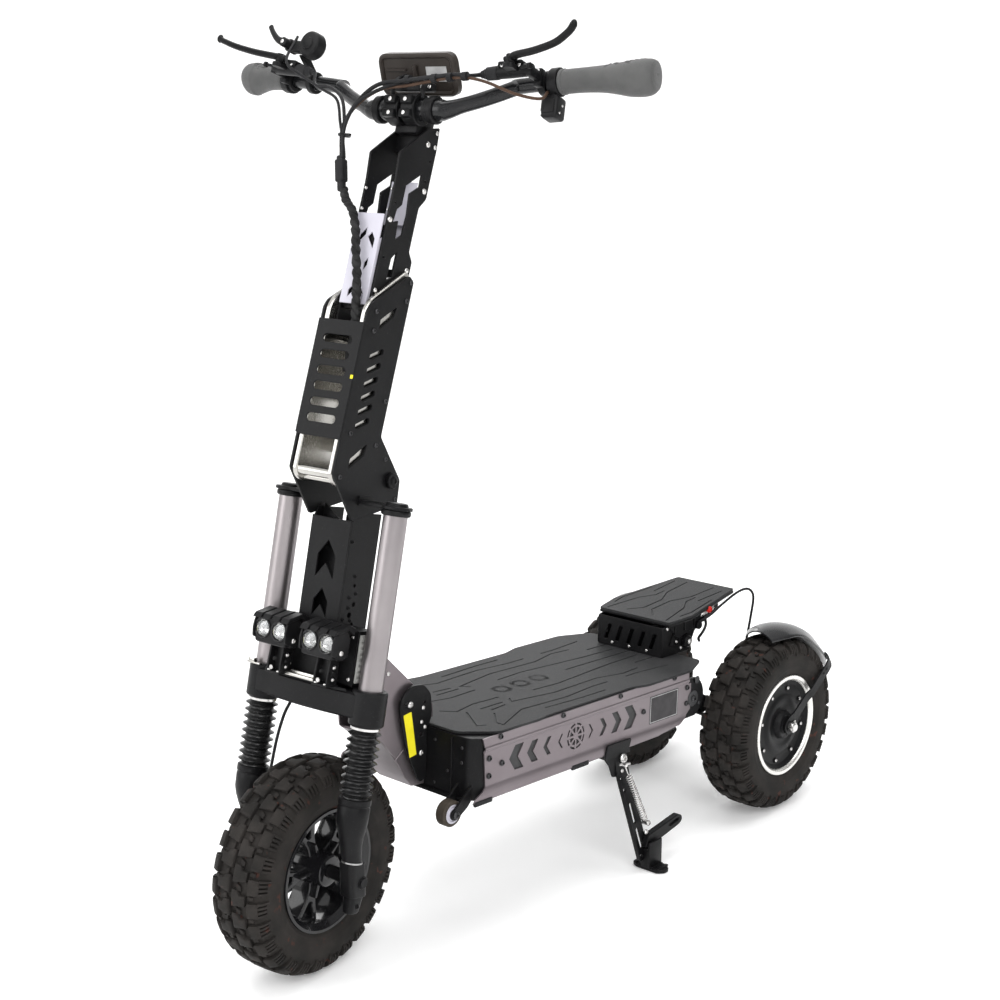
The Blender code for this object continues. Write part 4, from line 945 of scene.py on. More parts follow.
OUTER_BOLTS = ((-20, 296), (-18, 267.5), (43.3, 237.2), (41, 208.8), (-18, 116.6), (44.5, 57), (-17.5, 50.7),
        (-46.2, 34.8), (48, -7.5), (-87.4, -19.2))


def outer_screws(side):
    return join(*[side_bolt(side, 43, -a, b, 3.6 if a > -40 else 3.2) for a, b in OUTER_BOLTS])


def stem_cover():
    slots = []
    for k in range(6):
        middle = 71 + 23.4 * k
        slots.append([point for x, first in ((21, 90), (-21, 270))
                for point in arc(6.2, [math.radians(first - 22.5 * i) for i in range(9)], (x, middle))])
    outline = [(-43, 50), (-39, 44), (43, 44), (43, 216), (-43, 216)]
    front = plate(rounded(outline, 1.5), -65.3, -62.9, "Y", slots, 0.5)
    shapes = [front]
    shapes += [side_plate([(-64.9, 46), (-64.9, 215), (-62.2, 215), (-62.2, 46)], side, 41, 43, edge=0.4)
            for side in (1, -1)]
    return join(*shapes)


def inner_frame():
    shapes = []
    for side in (1, -1):
        low, high = span(side, 29.6, 37.4)
        holes = [circle(28, 8.3, (-PIN[0], PIN[1]))]
        shapes.append(plate(rounded(forward(INNER_OUTLINE), 5, 4), low, high, "X", holes, 1.6))
    shapes += [rod((-30, -ahead, up), (30, -ahead, up), radius, 40, 0.3)
            for ahead, up, radius in ((51, -5, 7.5), (39, -13, 5), (-14, 110, 5), (20, 190, 5), (-67.7, 6.1, 12.8))]
    shapes.append(plate(rounded(rect(-29, 29, 30, 235), 1), 16, 18.5, "Y", [rounded(rect(-14, 14, 60, 110), 6)], 0.5))
    return join(*shapes)


def upper_plate(side):
    low, high = span(side, 25.2, 29.2)
    holes = [rounded(forward(UPPER_ZIGZAG), 0.8, 2), rounded(forward(UPPER_SLOT), 0.8, 2)]
    holes += [circle(12, 1.8, (-a, b)) for a, b in ((-22, 480), (-20.6, 449.4), (36, 400), (37, 318))]
    return plate(rounded(forward(UPPER_OUTLINE), 3, 3), low, high, "X", holes, 0.55)


UPPER_BOLTS = ((-24, 524, 3.2), (-8.4, 501.6, 4.2), (-26, 503, 3.2), (-21.5, 434.4, 4.2), (41.1, 373.2, 4.2),
        (-19.5, 313.2, 4.0), (41, 268, 3.4))


def insert_panel():
    """White sheet between the plates, folded back along its sides, with arrow cut-outs."""
    marks = []
    for middle in (350, 268):
        marks += [[(-12.4, middle - 4), (-1.4, middle + 8), (-1.4, middle - 3), (-12.4, middle - 15)],
                [(3.0, middle - 6), (9.6, middle + 1), (16.6, middle - 9), (16.2, middle - 24)]]
    marks.append([(6, 306), (12.4, 313), (12.4, 302), (6, 293)])
    shapes = [plate(rounded(rect(-24.8, 24.8, 244, 379), 1), -50.5, -48.2, "Y", marks, 0.4)]
    for side in (1, -1):
        flange = rounded(forward([(50, 246), (50, 341), (40, 347), (24, 322), (20, 270), (28, 250)]), 2)
        shapes.append(side_plate(flange, side, 22.4, 24.6, edge=0.4))
    return join(*shapes)


def build_stem():
    for name, side in SIDES:
        emit(f"outer_plate_{name}", stem_plate(side), STEM, BLACK, "steering", f"stem_plate_{name}")
        sheets = [side_plate(inset(forward(window), -3), side, 37.6, 38.1, edge=0.05) for window in WINDOWS]
        emit(f"window_sheet_{name}", join(*sheets), STEM, POLISH, "steering")
        emit(f"outer_arm_{name}", stem_arm(side), FORK, BLACK, "steering")
        emit(f"outer_screws_{name}", outer_screws(side), STEM, DARK_SCREW, "steering")
        emit(f"upper_side_{name}", upper_plate(side), STEM, BLACK, "stem", f"upper_plate_{name}")
        screws = [side_bolt(side, 29.2, -a, b, r) for a, b, r in UPPER_BOLTS]
        screws += [bolt((side * 25.2, -a, b), (-side, 0, 0), 2.6) for a, b in ((44, 417.7), (44, 387), (44, 300))]
        emit(f"upper_screws_{name}", join(*screws), STEM, ZINC, "stem")
    emit("front_cover", stem_cover(), STEM, BLACK, "steering", "stem_cover")
    tag = slab(38.5, 43.4, -65.9, -65.0, 133, 138.5, 0.3, 1)
    emit("cover_tag", tag, STEM, YELLOW, "steering")
    pin = rod((-49.3, -PIN[0], PIN[1]), (49.3, -PIN[0], PIN[1]), 8.0, 40)
    heads = [rod((s * 43.3, -PIN[0], PIN[1]), (s * 50.3, -PIN[0], PIN[1]), 12, 48, 1.2) for s in (1, -1)]
    heads += [bolt((s * 50.2, -PIN[0], PIN[1]), (s, 0, 0), 7.4, 2.2) for s in (1, -1)]
    emit("fold_bolt", join(pin, *heads), STEM, BLACK, "steering", "fold_pin")
    emit("polished_frame", inner_frame(), STEM, POLISH, "stem", "stem_inner_frame")
    emit("white_insert", insert_panel(), STEM, WHITE, "stem", "stem_insert")
    backing = plate(rect(-22, 22, 250, 372), -46, -45, "Y", edge=0.2)
    emit("insert_backing", backing, STEM, BLACK, "stem")
    strip = join(plate(rect(-25, 25, 341, 408), 20, 23.5, "Y", edge=0.6),
            plate(rect(-24, 24, 378, 444), 9, 11.5, "Y", edge=0.5))
    emit("rear_strip", strip, STEM, WHITE, "stem")
    cross = join(slab(-24.8, 24.8, -40, -34, 238, 244, 0.8), slab(-24.8, 24.8, 12, 20, 300, 312, 1))
    emit("stem_ties", cross, STEM, BLACK, "stem")


# ---- handlebar and controls

BAR_R = 11.1
BAR_MIDDLE = (0, -10, 1137)
LEVER_IN = {1: 196.0, -1: 131.0}
GRIP_LENGTH = {1: 145.0, -1: 92.0}
BAR_HALF = [(0, -10, 1137, 15.9), (58, -10, 1137, 15.9), (72, -9, 1138, 13.5), (92, -4, 1145, BAR_R),
        (118, 4, 1155, BAR_R), (144, 14, 1167, BAR_R), (164, 22, 1177, BAR_R), (*BAR_BEND[1], BAR_R),
        (*BAR_END[1], BAR_R)]


def handlebar():
    stations = [(-x, y, z, r) for x, y, z, r in reversed(BAR_HALF[1:])] + BAR_HALF
    path = spline(stations, 8)
    return tube(path, [p[3] for p in path], 40)


def bar_clamp():
    """Two split bands round the bar on a block between the upper plates."""
    shapes = []
    for side in (1, -1):
        x0, x1 = span(side, 3.5, 27)
        shapes += [lathe([(x0, 16.3), (x0, 22), (x0 + 1.5, 23.8), (x1 - 1.5, 23.8), (x1, 22), (x1, 16.3)], BAR_MIDDLE,
                "X", 64), slab(x0 + 1, x1 - 1, -38, -25, 1121, 1133, 2), slab(x0 + 1, x1 - 1, -38, -25, 1141, 1153, 2)]
        x0, x1 = span(side, 44, 56)
        shapes.append(lathe([(x0, 16.2), (x0, 18.6), (x0 + 2, 20.6), (x1 - 2, 20.6), (x1, 18.6), (x1, 16.2)],
                BAR_MIDDLE, "X", 56))
    return join(*shapes)


def clamp_neck():
    return join(slab(-24.8, 24.8, 1, 27, 486, 527, 1.5), slab(-21, 21, -14, 25, 512, 546, 3))


def grip(side):
    """Ergonomic grip: round near the controls, winged below and behind towards its end."""
    length = GRIP_LENGTH[side]
    stations = [(2.4, 11.8, 0), (2.6, 16.5, 3), (1.4, 19.6, 3.8), (-3, 22.2, 4.4), (-9, 23.6, 5), (-20, 24.0, 5.2),
            (-0.27 * length, 22.9, 4.6), (-0.4 * length, 20.6, 3), (-0.55 * length, 18.4, 1.4),
            (-0.75 * length, 17.4, 0.3), (-length + 6, 17.2, 0), (-length + 5.6, 18.2, 0), (-length + 0.8, 18.2, 0),
            (-length, 17.6, 0), (-length, 11.8, 0)]
    rings = []
    smooth = spline(stations[2:11], 5)
    for x, r, drop in [stations[0], stations[1]] + smooth + stations[11:]:
        ring = []
        for k in range(56):
            turn = TAU * k / 56
            c, s = math.cos(turn), math.sin(turn)
            wing = drop * 0.9 * max(0.0, -s * 0.9 + c * 0.35) ** 3
            ring.append((x, (r - drop * 0.3 + wing) * c + drop * 0.25, (r - drop * 0.1 + wing) * s - drop * 0.55))
        rings.append(ring)
    return skin(rings, caps=False), rings


def grip_texture(side, rings):
    """Short raised worms over the palm side of the grip."""
    rng = random.Random(7 + side)
    shapes = []
    used = [r for r in rings if -GRIP_LENGTH[side] * 0.62 < r[0][0] < -10]
    for k in range(26):
        ring = used[rng.randrange(2, len(used) - 3)]
        start = rng.uniform(7, 21)
        points = []
        for step in range(7):
            index = (start + step * 0.55) % 56
            low = int(index) % 56
            base = Vector(ring[low]).lerp(Vector(ring[(low + 1) % 56]), index - int(index))
            centre = Vector((ring[0][0], 0, 0))
            out = (base - centre).normalized()
            wave = Vector((2.2 * math.sin(step * 1.3 + k), 0, 0))
            points.append(tuple(base + out * 0.05 + wave))
        shapes.append(tube(points, [0.3, 0.75, 0.9, 0.9, 0.9, 0.75, 0.3], 6))
    return join(*shapes)


def own(bm, side):
    return bm if side > 0 else flip(bm)


def band(centre, width, outer=17.0):
    """A clamp ring round the bar in a hand frame."""
    inner, lip = 11.8, 1.0
    low, high = centre - width / 2, centre + width / 2
    return lathe([(low, inner), (low, outer - lip), (low + lip, outer), (high - lip, outer), (high, outer - lip),
            (high, inner)], segments=56)


def brake_body(side):
    """Master cylinder, reservoir and split clamp, in the left hand's frame."""
    x = -LEVER_IN[side]
    shapes = [band(x + 24, 13), slab(x + 18, x + 30, -25, -13, -12, 14, 2), slab(x + 19, x + 29, -50, -20, -6, 8, 2)]
    barrel = [(x - 50, 0.01), (x - 50, 5.5), (x - 46, 6.4), (x - 30, 7.2), (x - 28, 9.0), (x - 6, 9.5), (x + 22, 9.5),
            (x + 27, 8), (x + 28, 0.01)]
    shapes += [lathe(barrel, (0, -44, 4), "X", 40), slab(x - 26, x + 14, -55, -35, 8, 17, 3, 3),
            plate(rounded([(x - 9, -40), (x - 9, -68), (x - 4, -72), (x + 4, -72), (x + 9, -68), (x + 9, -40)], 3), 0,
            7, "Z", edge=1), rod((x + 14, -57, 3), (x + 30, -60, 3), 2.4, 20),
            rod((x + 28, -59.6, 3), (x + 34, -60.6, 3), 4.4, 20, 1)]
    return own(join(*shapes), side)


def brake_screws(side):
    x = -LEVER_IN[side]
    shapes = [bolt((x - 18, -53.6, 10), (0, -1, 0.3), 2.8), bolt((x - 2, -54.5, 11), (0, -1, 0.3), 2.8),
            bolt((x + 10, -54, 8), (0, -1, 0.2), 2.8), bolt((x + 24, -25, 10), (0, -1, 0), 2.6),
            bolt((x, -62, 7), (0, 0, 1), 4.4, 2)]
    return own(join(*shapes), side)


def brake_boot(side):
    """Ribbed rubber sleeve where the hose leaves the cylinder."""
    x = -LEVER_IN[side] - 50
    profile = [(x + 22, 0.01), (x + 22, 9.6), (x + 19, 10.0), (x + 4, 9.4), (x + 2, 7.4), (x - 1, 7.2), (x - 3, 5.6),
            (x - 6, 5.4), (x - 8, 3.4), (x - 14, 3.0), (x - 14, 0.01)]
    return own(lathe(profile, (0, -44, 4), "X", 40), side)


def brake_lever(side):
    x, y, z = -LEVER_IN[side], -62, 16
    reach = [(-8, 3, -1), (2, 0, 0), (14, -7, 1), (45, -14, 1), (80, -20, 6), (100, -26, 13.5), (108, -28, 19)]
    tip = (113, -30, 25)
    if side < 0:
        reach = [(-8, 3, -1), (2, -1, 0), (12, -8, -1), (35, -24, -3), (62, -38, -2), (80, -46, 1), (85, -48, 2)]
        tip = (90, -50, 4)
    path = spline([(x + i, y + j, z + k) for i, j, k in reach + [tip]], 6)
    count = len(path)
    radii = [7.4 - 1.3 * min(1, abs(i / count - 0.1) * 1.6) for i in range(count)]
    blade = tube(path, radii, 28, flat=0.72, twist=(0, 0, 1))
    end = [x + tip[0], y + tip[1], z + tip[2]]
    knob = bmesh.new()
    bmesh.ops.create_uvsphere(knob, u_segments=28, v_segments=18, radius=5.6)
    knob = at(turned(knob, Matrix.Diagonal((0.85, 0.85, 1.15, 1))), *end)
    lug = rod((x, y, z - 8.6), (x, y, z + 5), 7, 36, 1)
    return own(join(blade, knob, lug), side)


def throttle_body():
    """Round thumb-throttle housing with its clamp, in the right hand's frame."""
    x, y, z = 153, -40, 46
    return join(band(x, 10), plate(rounded([(-4, 14), (-14, 8), (y - 5, z - 18), (y + 8, z - 12)], 3), x - 5, x + 5,
            "X", edge=1.2), lathe([(y - 11, 0.01), (y - 11, 17.5), (y - 9, 20), (y - 5, 21), (y + 7, 21), (y + 11, 18),
            (y + 11, 0.01)], (x + 16, 0, z), "Y", 64), lathe([(y - 13, 0.01), (y - 13, 9), (y - 11, 10), (y - 10, 10.5),
            (y - 10, 0.01)], (x + 16, 0, z), "Y", 48), rod((x - 27, y - 10, z - 5), (x - 27, y + 8, z - 5), 10, 40,
            1.4), slab(x - 27, x + 16, y - 9, y + 7, z - 14, z + 4, 3, 3))


def throttle_trigger():
    x, y, z = 126, -58, 41
    path = spline([(x, y, z), (x - 18, y, z + 4), (x - 33, y, z + 14), (x - 42, y, z + 23)], 7)
    blade = tube(path, [6.8 - 2.4 * math.sin(math.pi * 0.6 * i / len(path)) for i in range(len(path))], 24, flat=0.8)
    return join(blade, rod((x, y - 6, z), (x, y + 7, z), 7.4, 36, 1))


def switch_body():
    """Switch box that hangs under the bar, with ribs and a rocker."""
    x = -156
    shapes = [band(x, 12, outer=19), slab(x - 6, x + 6, -8, 8, -26, -13, 2),
            slab(x - 13, x + 13, -12, 16, -54, -21, 4.5, 3), slab(x - 15, x - 10, -9, 12, -44, -26, 1.6),
            slab(x - 9, x + 9, -14, -10, -48, -28, 2)]
    shapes += [slab(x - 14.4, x - 11, -8, 10, -50 + k * 4.4, -48 + k * 4.4, 0.6, 1) for k in range(4)]
    return join(*shapes)


def cable_from(point, side, route):
    """A path that starts in a hand frame and goes on through fork-frame points."""
    return spline([tuple(to_frame(point, HAND[side], FORK))] + route, 7)


def cable_routes():
    """Single cables from the controls and the display to the connector; radius first."""
    near = [(128, -44, 1178), (100, -46, 1179), (19, -50, 1170), (-30, -52, 1163)]
    routes = [(3.0, cable_from((-258, -44, 4), 1, near + [(-58, -60, 1134), (-71, -64, 1098), (-66, -66, 1054)])),
            (2.2, cable_from((-162, -8, -16), 1, [(236, -16, 1153), (200, -28, 1157), (150, -40, 1172),
            (104, -45, 1175), (22, -45, 1164), (-28, -47, 1157), (-62, -56, 1130), (-75, -63, 1094),
            (-68, -66, 1054)])), (2.6, cable_from((195, -44, 4), -1,
            [(-160, -42, 1166), (-122, -50, 1160), (-88, -60, 1142), (-72, -66, 1112), (-67, -68, 1082),
            (-63, -67, 1054)])), (2.2, cable_from((150, -58, 52), -1,
            [(-205, -64, 1196), (-178, -50, 1176), (-140, -46, 1158), (-100, -56, 1140), (-80, -64, 1104),
            (-64, -68, 1070), (-60, -67, 1052)])), (2.0, spline([(-40, -4, 1176), (-46, -22, 1172), (-52, -40, 1158),
            (-62, -60, 1128), (-70, -70, 1096), (-64, -70, 1052)], 7)),
            (2.4, spline([(-8, -2, 1176), (0, -28, 1178), (10, -44, 1170), (-26, -56, 1154), (-54, -66, 1130),
            (-64, -72, 1094), (-61, -71, 1052)], 7)),]
    return routes


SLEEVE = [(-54, -67, 1008), (-44, -68, 990), (-28, -70, 976), (-14, -74, 950), (-4, -78, 918), (8, -81.5, 880),
        (14, -83.5, 848), (17, -82, 814), (15, -79, 780), (9, -76, 742)]


def braided_sleeve():
    """Two sleeved strands twisted round one another."""
    path = spline(SLEEVE, 10)
    shapes = []
    for start in (0.0, math.pi):
        points = []
        for i, p in enumerate(path):
            turn = start + i * 0.72
            points.append((p[0] + 2.6 * math.cos(turn), p[1] + 2.6 * math.sin(turn), p[2]))
        radii = [4.6 + 0.35 * math.sin(i * 2.1) for i in range(len(points))]
        shapes.append(tube(points, radii, 16))
    return join(*shapes)


def display_body():
    """Instrument housing with a thick rim and a recessed back, in its own tilted frame."""
    outline = rounded(rect(-71.5, 71.5, -32, 32), 17, 6)
    ring = plate(outline, -7, 8, "Y", [rounded(rect(-63, 63, -24, 24), 9, 5)], 2.6)
    back = plate(rounded(rect(-64, 64, -25, 25), 9, 5), -3.5, 5, "Y", edge=0.8)
    ribs = [slab(-58, -20, -7.4, -3, -20, -17, 0.8, 1), slab(-58, -20, -7.4, -3, 6, 9, 0.8, 1),
            slab(-6, 0, -8, -3, -22, 14, 1, 1)]
    return join(ring, back, *ribs)


def display_bracket():
    """Arms that hold the display over the bar."""
    shapes = [tube(spline([(x, -22, 1152), (x + 1, -26, 1166), (x + 2, -20, 1180), (x + 2, -2, 1190)], 6), 4.2, 16,
            flat=0.6) for x in (-22, 34)]
    shapes.append(slab(-30, 44, -14, -4, 1164, 1176, 2.5, 2))
    shapes += [lathe([(x - 4, 16.2), (x - 4, 18.6), (x + 4, 18.6), (x + 4, 16.2)], BAR_MIDDLE, "X", 48)
            for x in (-30, 42)]
    return join(*shapes)


def build_handlebar():
    emit("bar", handlebar(), FORK, GLOSS_BAR, "stem", "handlebar", sharp=60)
    emit("bar_clamp_bands", bar_clamp(), FORK, BLACK, "stem", "handlebar_clamp")
    emit("bar_clamp_block", clamp_neck(), STEM, BLACK, "stem")
    screws = [bolt((side * 14, -37.6, s), (0, -1, 0), 3.2) for side in (1, -1) for s in (1127, 1147)]
    screws += [bolt((x, -15, 1170), (0, -1, 0), 3) for x in (24, 38)]
    emit("bar_clamp_screws", join(*screws), FORK, ZINC, "stem")
    tilt = FORK @ shift(0, 5, 1193.5) @ about_x(28)
    emit("display_case", display_body(), tilt, DISPLAY_SHELL, "stem", "display")
    glass = plate(rounded(rect(-60, 60, -22, 22), 5, 4), 4.6, 7.2, "Y", edge=0.4)
    emit("display_glass", glass, tilt, SCREEN, "stem")
    emit("display_label", slab(16, 54, -4.2, -3.4, -10, 12, 0.2, 1), tilt, LABEL, "stem")
    emit("display_bracket", display_bracket(), FORK, PLASTIC, "stem")
    for name, side in SIDES:
        hand = HAND[side]
        shape, rings = grip(side)
        worms = grip_texture(side, rings)
        emit(f"grip_sleeve_{name}", own(join(shape, worms), side), hand, GRIP, "stem", f"grip_{name}", sharp=50)
        cap = join(lathe([(1.9, 0.01), (3.6, 0.01), (3.8, 3), (3.4, 12), (2.6, 15.5), (1.9, 16.4)], (0, 1, -2), "X",
                48), bolt((3.7, 1, -2), (1, 0, 0), 2.4, 0.6))
        emit(f"grip_end_{name}", own(cap, side), hand, GRIP, "stem")
        emit(f"brake_body_{name}", brake_body(side), hand, BLACK, "stem", f"brake_cylinder_{name}")
        emit(f"brake_boot_{name}", brake_boot(side), hand, RUBBER, "stem")
        emit(f"brake_screws_{name}", brake_screws(side), hand, ZINC, "stem")
        emit(f"lever_blade_{name}", brake_lever(side), hand, BLACK, f"lever_{name}", f"brake_lever_{name}", sharp=50)
        ring = band(-GRIP_LENGTH[side] - 7.5, 13, outer=20.6)
        emit(f"grip_ring_{name}", own(ring, side), hand, PLASTIC, "stem")
    hand = HAND[-1]
    emit("throttle_case", throttle_body(), hand, PLASTIC, "stem", "throttle_pod")
    emit("throttle_lever", throttle_trigger(), hand, PLASTIC, "trigger", "throttle_trigger")
    emit("throttle_screw", bolt((126, -64, 41), (0, -1, 0), 3.2), hand, ZINC, "trigger")
    hand = HAND[1]
    emit("switch_case", switch_body(), hand, PLASTIC, "stem", "switch_pod")
    button = rod((-156, 12, -36), (-156, 20, -36), 6.0, 36, 1.2)
    emit("horn_cap", button, hand, RED, "horn", "horn_button")
    emit("switch_screws", join(bolt((-143, 4, -34), (1, 0, 0), 1.8), bolt((-143, -2, -46), (1, 0, 0), 1.8)), hand, ZINC,
            "stem")
    for index, (radius, path) in enumerate(cable_routes()):
        emit(f"cable_{index}", tube(path, radius, 14), FORK, BROWN_CABLE if index == 1 else RUBBER, "stem",
                sharp=80)
    emit("cable_sleeve", braided_sleeve(), FORK, BRAID, "stem", "cable_harness", sharp=80)
    plug = join(slab(-72, -57, -76, -61, 1016, 1050, 3, 3), slab(-70, -59, -74, -63, 1002, 1056, 3, 3))
    plug = at(turned(at(plug, 64, 68, -1030), Matrix.Rotation(math.radians(-12), 4, "Y")), -60, -68, 1030)
    emit("cable_plug", plug, FORK, RUBBER, "stem")
    tie = join(lathe([(1084, 8.2), (1084, 9.6), (1087, 9.6), (1087, 8.2)], (-67, -66, 0), "Z", 24),
            slab(-64, -52, -72, -67, 1083.5, 1087.5, 0.8, 1))
    emit("cable_tie", tie, FORK, PLASTIC, "stem")
    for index, x in enumerate((124, 98, 70, 22)):
        wrap = tube(spline([(x - 4, -46, 1176.5 - index * 1.4), (x + 4, -46, 1177 - index * 1.4)], 3), 6.4, 18)
        emit(f"cable_wrap_{index}", wrap, FORK, RUBBER, "stem")


# ---- frame and deck

PIVOT = (286.0, 48.2)  # swing arm pivot in the deck frame, as (y, z)
ROLLER_PIN = (-318, -11.4)
NECK_TOP = [(113, 487), (191, 409), (232, 368), (232, 346), (204, 346), (178, 318), (150, 299), (142, 308), (122, 332),
        (104, 348), (100, 420)]
NECK_LOW = [(206, 346), (214, 344), (214, 240), (186, 243), (170, 262), (158, 284), (151, 296), (180, 316)]
MAT_HALF = [(102, -283), (147, -234), (150, -136), (145.4, -117), (145.4, 106), (156, 142), (156, 268), (128, 334)]
MAT_GROOVES = ([(80, -172), (115, -206), (130, -204), (97, -124), (104, -17), (96, 60), (97, 100)],
        [(46, -201), (104, -240), (112, -226)], [(44, -95), (58, -106), (74, -14), (70, 103), (84, 163), (80, 208)],
        [(98, 150), (98, 184), (106, 264)], [(40, -31), (44, 33), (30, 188), (27, 276)],
        [(12, -229), (34, -210), (24, -164), (27, -103)], [(66, -164), (62, -126)], [(50, -172), (50, -119)],
        [(118, -90), (124, 0), (124, 60)], [(56, 232), (56, 300)])
PAD_GROOVES = ([(68, 8), (54, 84), (36, 116), (36, 144)], [(30, 18), (9, 44), (9, 100), (27, 142), (31, 212)],
        [(52, 132), (56, 205)], [(76, 40), (80, 70), (70, 150)])
CHEVRONS = ((-6, 24, 4), (29, 30, 9), (67, 36, 15), (108, 41, 21))
VENT = (-45.0, 54.5)
PANEL_SCREWS = ((-231.4, 97.4), (-79.8, 97.8), (71.6, 98), (225.9, 98), (266.5, 72), (266, 43), (138.9, 55.4),
        (-256.9, 67.5), (-227, 53.1), (-256.9, 39.1))


def stroke(points, width):
    """The outline of a line of the given width drawn through points."""
    left, right = [], []
    for i, point in enumerate(points):
        here = Vector(point)
        ahead = (Vector(points[min(i + 1, len(points) - 1)]) - Vector(points[min(i, len(points) - 2)])).normalized()
        behind = (Vector(points[max(i, 1)]) - Vector(points[max(i - 1, 0)])).normalized()
        normal = Vector((-ahead.y - behind.y, ahead.x + behind.x)).normalized()
        reach = width / 2 / max(0.5, normal.dot(Vector((-ahead.y, ahead.x))))
        left.append(tuple(here + normal * reach))
        right.append(tuple(here - normal * reach))
    return left + right[::-1]


def both(outline):
    return [outline, [(-x, y) for x, y in outline]]


def neck():
    """Welded neck box: upper and lower side plates, folded floor and roof."""
    shapes = []
    for side in (1, -1):
        holes = [circle(14, 3, c) for c in ((192, 392), (172, 384))]
        shapes += [side_plate(rounded(NECK_TOP, 2), side, 36.5, 40, holes, 0.6),
                side_plate(rounded(NECK_LOW, 2), side, 34, 37.4, edge=0.6)]
    floor = [(214, 240), (186, 243), (170, 262), (158, 284), (142, 308), (122, 332), (106, 345)]
    rings = []
    for y, z in floor:
        rings.append([(-36, y, z), (36, y, z), (36, y + 3, z + 3), (-36, y + 3, z + 3)])
    shapes.append(skin(rings))
    roof = [(104, 492), (113, 486), (191, 408), (231, 367), (231, 347)]
    rings = []
    for y, z in roof:
        rings.append([(-36, y, z), (36, y, z), (36, y - 3, z - 3), (-36, y - 3, z - 3)])
    shapes.append(skin(rings))
    return join(*shapes)


def head_tube():
    return lathe([(292, 13.2), (292, 25.5), (296, 26.4), (306, 26.4), (308, 24), (486, 24), (488, 26.2), (497, 26.2),
            (500, 25), (500, 13.2)], (0, 0, 0), "Z", 56)


BRACKET = [(150, 389), (161, 405), (179, 413), (203, 409), (218, 392), (220, 360), (216, 346), (208, 340), (206, 256),
        (190, 250), (170, 296), (157, 340)]


def neck_bracket(side):
    return side_plate(rounded(BRACKET, 7, 4), side, 46, 50.5, [circle(14, 4, (196, 330)), circle(12, 2.6, (204, 380))],
            0.7)


def bracket_fittings(side):
    shapes = [rod((side * 40, 172, 384), (side * 46, 172, 384), 7, 32, 0.5),
            rod((side * 40, 194, 300), (side * 46, 194, 300), 7, 32, 0.5)]
    shapes += [side_bolt(side, 50.5, y, z, r) for y, z, r in ((172, 384, 5), (200, 372, 3.2), (196, 350, 3.0),
            (194, 300, 4.4), (203, 340, 3))]
    shapes += [side_bolt(side, 40, y, z, 3.4) for y, z in ((136, 440), (118, 462))]
    shapes.append(rod((side * 50.3, 164, 386), (side * 58, 164, 386), 3.2, 20, 0.6))
    return join(*shapes)


def deck_shell():
    """Black battery box with folded front corners, its swing arm cheeks and the rollers' arms."""
    half = [(60, -287), (128, -285), (145, -268), (145, 243)]
    outline = whole(half)
    shell = plate(rounded(outline, [2, 7, 7, 2, 2, 7, 7, 2], 4), 0, 101, "Z", edge=1.2)
    shapes = [shell]
    shapes += [slab(x - 1.5, x + 1.5, -288.4, -285, 6, 96, 0.6, 1) for x in (-96, -36, 36, 96)]
    shapes.append(slab(-128, 128, -291, -284, -3, 3, 1.2))
    for side in (1, -1):
        cheek = [(236, 12), (PIVOT[0] - 10, PIVOT[1] - 36)]
        cheek += arc(38, [math.radians(-70 + 14 * k) for k in range(11)], PIVOT) + [(236, 86)]
        shapes.append(side_plate(cheek, side, 138.7, 145, [circle(28, 9, PIVOT)], 0.8))
        for low, high in ((106.5, 111), (133, 137.5)):
            arm = [(-284, 26), (-284, 2), (-292, -6)]
            arm += arc(9, [math.radians(-60 - 25 * k) for k in range(9)], ROLLER_PIN)
            shapes.append(side_plate(arm, side, low, high, edge=0.6))
        shapes.append(rod((side * 108, *ROLLER_PIN), (side * 136, *ROLLER_PIN), 4, 24))
    return join(*shapes)


def deck_fittings():
    """Screws on the deck box and the pivot's caps."""
    shapes = []
    for side in (1, -1):
        shapes += [side_bolt(side, 138, *ROLLER_PIN, 6, 3),
                rod((side * 144.8, *PIVOT), (side * 150, *PIVOT), 15, 48, 1.4), side_bolt(side, 150, *PIVOT, 6.2, 3),
                rod((side * 146, PIVOT[0] + 12, PIVOT[1] + 32), (side * 149, PIVOT[0] + 12, PIVOT[1] + 32), 7, 32, 1)]
        shapes += [side_bolt(side, 145, y, z, 3.4) for y, z in ((252, 26), (252, 74), (PIVOT[0] + 24, PIVOT[1] - 14))]
        shapes += [bolt((side * x, -286.6, z), (0, -1, 0), 2.8)
                for x, z in ((60, 84), (118, 84), (60, 14), (118, 60), (88, 40))]
    return join(*shapes)


